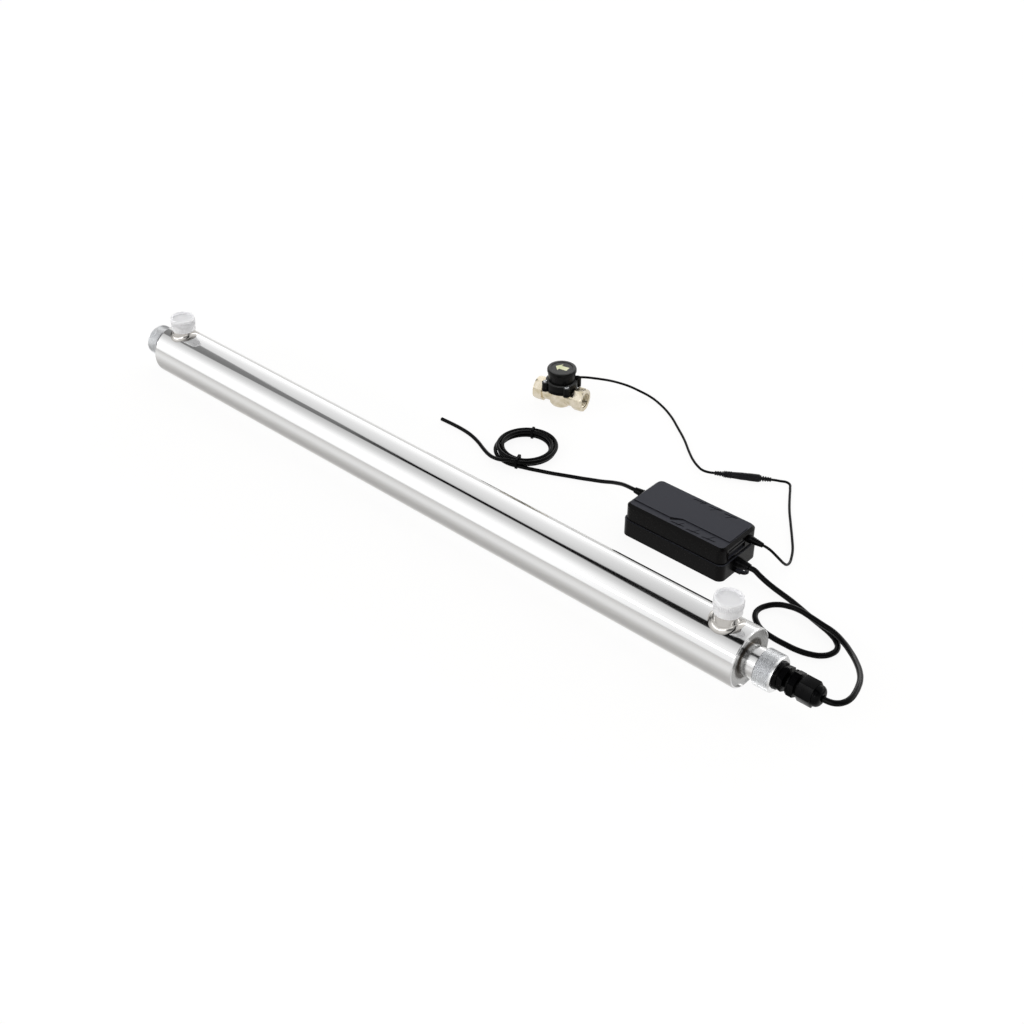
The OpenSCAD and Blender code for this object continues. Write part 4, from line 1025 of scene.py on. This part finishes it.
class CLARIFIER_OT_flow_arrow(Operator):
    """Prints the raised arrow that shows which way the water flows"""

    bl_idname = "clarifier.flow_arrow"
    bl_label = "Flow arrow"

    def execute(self, context):
        length, sunk = sizes().arrow_length, 0.00058
        # The head's length and the shaft's width as parts of the whole, and the head's flare
        head, shaft, flare, point = 0.36, 0.46, 2.05, 0.02
        middle = (length * head / 2, 0, 0)
        arrow = begin("plane", size=1, location=middle)
        bpy.ops.transform.resize(value=(length * (1 - head), length * shaft, 1),
                                 center_override=middle)
        # The head grows out of the shaft's end: the end edge is drawn wide, then to a point
        for step, width in ((0.0, flare), (head, point)):
            choose("DESELECT")
            mode("OBJECT")
            least = min(v.co.x for v in arrow.data.vertices)
            last = [v for v in arrow.data.vertices if v.co.x < least + NEAR]
            for vertex in last[-2:]:
                vertex.select = True
            mode("EDIT")
            extrude(-length * step - 10 * NEAR, 0, 0)
            bpy.ops.transform.resize(value=(1, width, 1))
        choose("SELECT")
        extrude(0, 0, sizes().arrow_rise)
        close_form()
        arrow.rotation_euler = (0, 0, math.radians(FLOW_TURN))
        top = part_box("flow_cover")[1].z
        arrow.location = (FLOW_AT[0] * MM, FLOW_AT[1] * MM, top - sunk)
        # Pad-printed paint: pale yellow-green, matt
        moulded("arrow_paint", colours().arrow, "#E2E6B6", grain=0.0008, shine=(0.5, 0.62),
                bump=0.05)
        settle(arrow, "flow_arrow", "arrow_paint", "chamber", "white_plastic")
        return {"FINISHED"}


def white_paper():
    # Matt white paper: white to the camera and nearly so through glass, while metal sees painted
    # light and shade on it that change with the distance from the tube
    paper, node, place = new_finish("white_paper", {
        "Base Color": colours().floor, "Roughness": 0.9, "Specular IOR Level": 0.0})
    ray = node("LightPath").outputs
    seen = node("Math", (ray["Is Camera Ray"], 0.85), operation="MULTIPLY")
    glass = node("Math", (ray["Is Transmission Ray"], 0.6), operation="MULTIPLY")
    across = node("SeparateXYZ", (place,))
    apart = node("Math", (across.outputs["Y"],), operation="ABSOLUTE")
    reach = node("Math", (apart, 2.0), operation="MULTIPLY")
    painted_floor_light = node("ValToRGB", (reach,))
    # Metres from the tube, and the white that metal sees there: painted light and shade on the
    # paper
    painted_whites = [(0, 0.6), (0.016, 0.58), (0.022, 0.3), (0.03, 0.1), (0.045, 0.1), (0.061, 0.25),
              (0.08, 0.45), (0.1, 0.6), (0.15, 0.55), (0.22, 0.42), (0.435, 0.24)]
    spread(painted_floor_light.color_ramp, [(2 * away, (white,) * 3) for away, white in painted_whites])
    metal = node("Math", (ray["Is Glossy Ray"], painted_floor_light), operation="MULTIPLY")
    clear = node("Math", (seen, glass), operation="MAXIMUM")
    share = node("Math", (clear, metal), operation="MAXIMUM")
    # Metal sees the paper glow brighter than the camera does: painted light
    power = node("Math", (ray["Is Glossy Ray"], 0.2, 1.075), operation="MULTIPLY_ADD")
    glow = node("Emission", {"Color": (1, 1, 1, 1), "Strength": power})
    tree = paper.node_tree
    mixed = node("MixShader", (share, tree.nodes["Principled BSDF"], glow))
    plug(tree, tree.nodes["Material Output"], {"Surface": mixed})
    return paper


def soft_box_tunnel():
    """A world of soft boxes along the tube: brightness goes by the angle about X."""
    world = bpy.data.worlds.new("soft_box_tunnel")
    world.use_nodes = True
    tree = world.node_tree
    node = partial(add, tree)
    place = node("TexCoord").outputs["Generated"]
    axes = node("SeparateXYZ", (place,)).outputs
    angle = node("Math", (axes["Z"], axes["Y"]), operation="ARCTAN2")
    share = node("Math", (angle, math.pi), operation="DIVIDE")
    ramp = node("ValToRGB", (share,))
    # Each side has a narrow strip light, far brighter than the boxes, for a fine line on gloss
    strip = 4.0
    stops = [(0, 0.5), (3, 0.85), (8, 0.93), (14, 1.0), (16, strip), (19, strip), (21, 0.98),
             (34, 0.9), (44, 0.8), (54, 0.74), (64, 0.7), (74, 0.66), (83, 0.6), (94, 0.53),
             (104, 0.52), (115, 0.61), (125, 0.75), (135, 0.92), (142, 1.0), (150, 1.0),
             (152, strip), (156, strip), (158, 1.0), (167, 1.0), (175, 0.96), (177.6, 0.88),
             (180, 0.5)]
    spread(ramp.color_ramp, [(degrees / 180, (value / strip,) * 3) for degrees, value in stops])
    # Overhead is a dark slot: half its width and its middle in degrees, and its level, along X
    west, east = -0.75, -0.4
    course = node("ValToRGB", (node("MapRange", (axes["X"], west, east)),))
    bends = [(-0.73, 15.5, 86, 0.34), (-0.705, 11.4, 89, 0.34), (-0.68, 7.8, 91.4, 0.34),
             (-0.65, 6.2, 92.3, 0.3), (-0.625, 4.6, 93, 0.06), (-0.6, 3.7, 93.6, 0),
             (-0.52, 3.3, 95.4, 0.01), (-0.48, 5.8, 96.6, 0.012), (-0.42, 8.4, 98.2, 0.016)]
    spread(course.color_ramp, [((x - west) / (east - west), (half / 180, middle / 180, level))
                               for x, half, middle, level in bends])
    slot = node("SeparateColor", (course,)).outputs
    away = node("Math", (share, slot["Green"]), operation="SUBTRACT")
    off = node("Math", (away,), operation="ABSOLUTE")
    edge = node("Math", (slot["Red"], 2.4 / 180), operation="ADD")
    level = node("MapRange", (off, slot["Red"], edge, slot["Blue"]))
    # The tunnel's ends are dimmer, and so are a stretch above the lamp end and the near corner
    reach = node("Math", (axes["X"],), operation="ABSOLUTE")
    toward = node("VectorMath", (place, (0.54, -0.6, 0.59)), operation="DOT_PRODUCT")
    shift = node("Math", (axes["X"], 0.37), operation="ADD")
    near = node("Math", (shift,), operation="ABSOLUTE")
    for dim in ((reach, 0.78, 0.95, 1.0, 0.4), (toward, 0.88, 0.96, 1.0, 0.2),
                (near, 0.05, 0.14, 0.84, 1.0)):
        level = node("Math", (level, node("MapRange", dim)), operation="MULTIPLY")
    power = node("Math", (level, 1.36 * strip), operation="MULTIPLY")
    boxes = tree.nodes["Background"]
    plug(tree, boxes, {"Color": ramp, "Strength": power})
    white = node("Background", {"Color": (1, 1, 1, 1), "Strength": 1.0})
    seen = node("LightPath").outputs["Is Camera Ray"]
    plug(tree, tree.nodes["World Output"],
         {"Surface": node("MixShader", (seen, boxes, white))})
    return world


class CLARIFIER_OT_stage(Operator):
    """Lays the floor and lights the scene as a plain soft studio"""

    bl_idname = "clarifier.stage"
    bl_label = "Stage"

    def execute(self, context):
        wide, below = 16, 0.0003
        floor = begin("plane", size=wide, location=(0, 0, -below))
        mode("OBJECT")
        floor.name = "floor"
        floor.data.materials.append(white_paper())
        context.scene.world = soft_box_tunnel()
        context.scene.view_settings.view_transform = "Standard"
        return {"FINISHED"}


PIECES = (
    CLARIFIER_OT_camera, CLARIFIER_OT_lamp_cord, CLARIFIER_OT_mains_cord,
    CLARIFIER_OT_sensor_cords, CLARIFIER_OT_chamber, CLARIFIER_OT_ports, CLARIFIER_OT_cap_ribs,
    CLARIFIER_OT_knurls, CLARIFIER_OT_lamp, CLARIFIER_OT_gland, CLARIFIER_OT_dome_nut,
    CLARIFIER_OT_gland_thread, CLARIFIER_OT_ballast, CLARIFIER_OT_ballast_trim,
    CLARIFIER_OT_flow_switch, CLARIFIER_OT_flow_screws, CLARIFIER_OT_flow_threads,
    CLARIFIER_OT_flow_arrow, CLARIFIER_OT_stage,
)


class CLARIFIER_PT_panel(Panel):
    """Lists the clarifier's sizes, colours and pieces"""

    bl_idname = "CLARIFIER_PT_panel"
    bl_label = "UV clarifier"
    bl_space_type = "VIEW_3D"
    bl_region_type = "UI"
    bl_category = "Clarifier"

    def draw(self, context):
        for group in (context.scene.clarifier_sizes, context.scene.clarifier_colours):
            box = self.layout.box()
            for key in group.__annotations__:
                box.prop(group, key)
        for piece in PIECES:
            self.layout.operator(piece.bl_idname)


CLASSES = (ClarifierSizes, ClarifierColours) + PIECES + (CLARIFIER_PT_panel,)


def register():
    for cls in CLASSES:
        bpy.utils.register_class(cls)
    bpy.types.Scene.clarifier_sizes = bpy.props.PointerProperty(type=ClarifierSizes)
    bpy.types.Scene.clarifier_colours = bpy.props.PointerProperty(type=ClarifierColours)


def unregister():
    del bpy.types.Scene.clarifier_colours
    del bpy.types.Scene.clarifier_sizes
    for cls in reversed(CLASSES):
        bpy.utils.unregister_class(cls)


def main():
    register()
    for piece in PIECES:
        group, call = piece.bl_idname.split(".")
        getattr(getattr(bpy.ops, group), call)()
    bpy.context.view_layer.update()


if __name__ == "__main__":
    main()
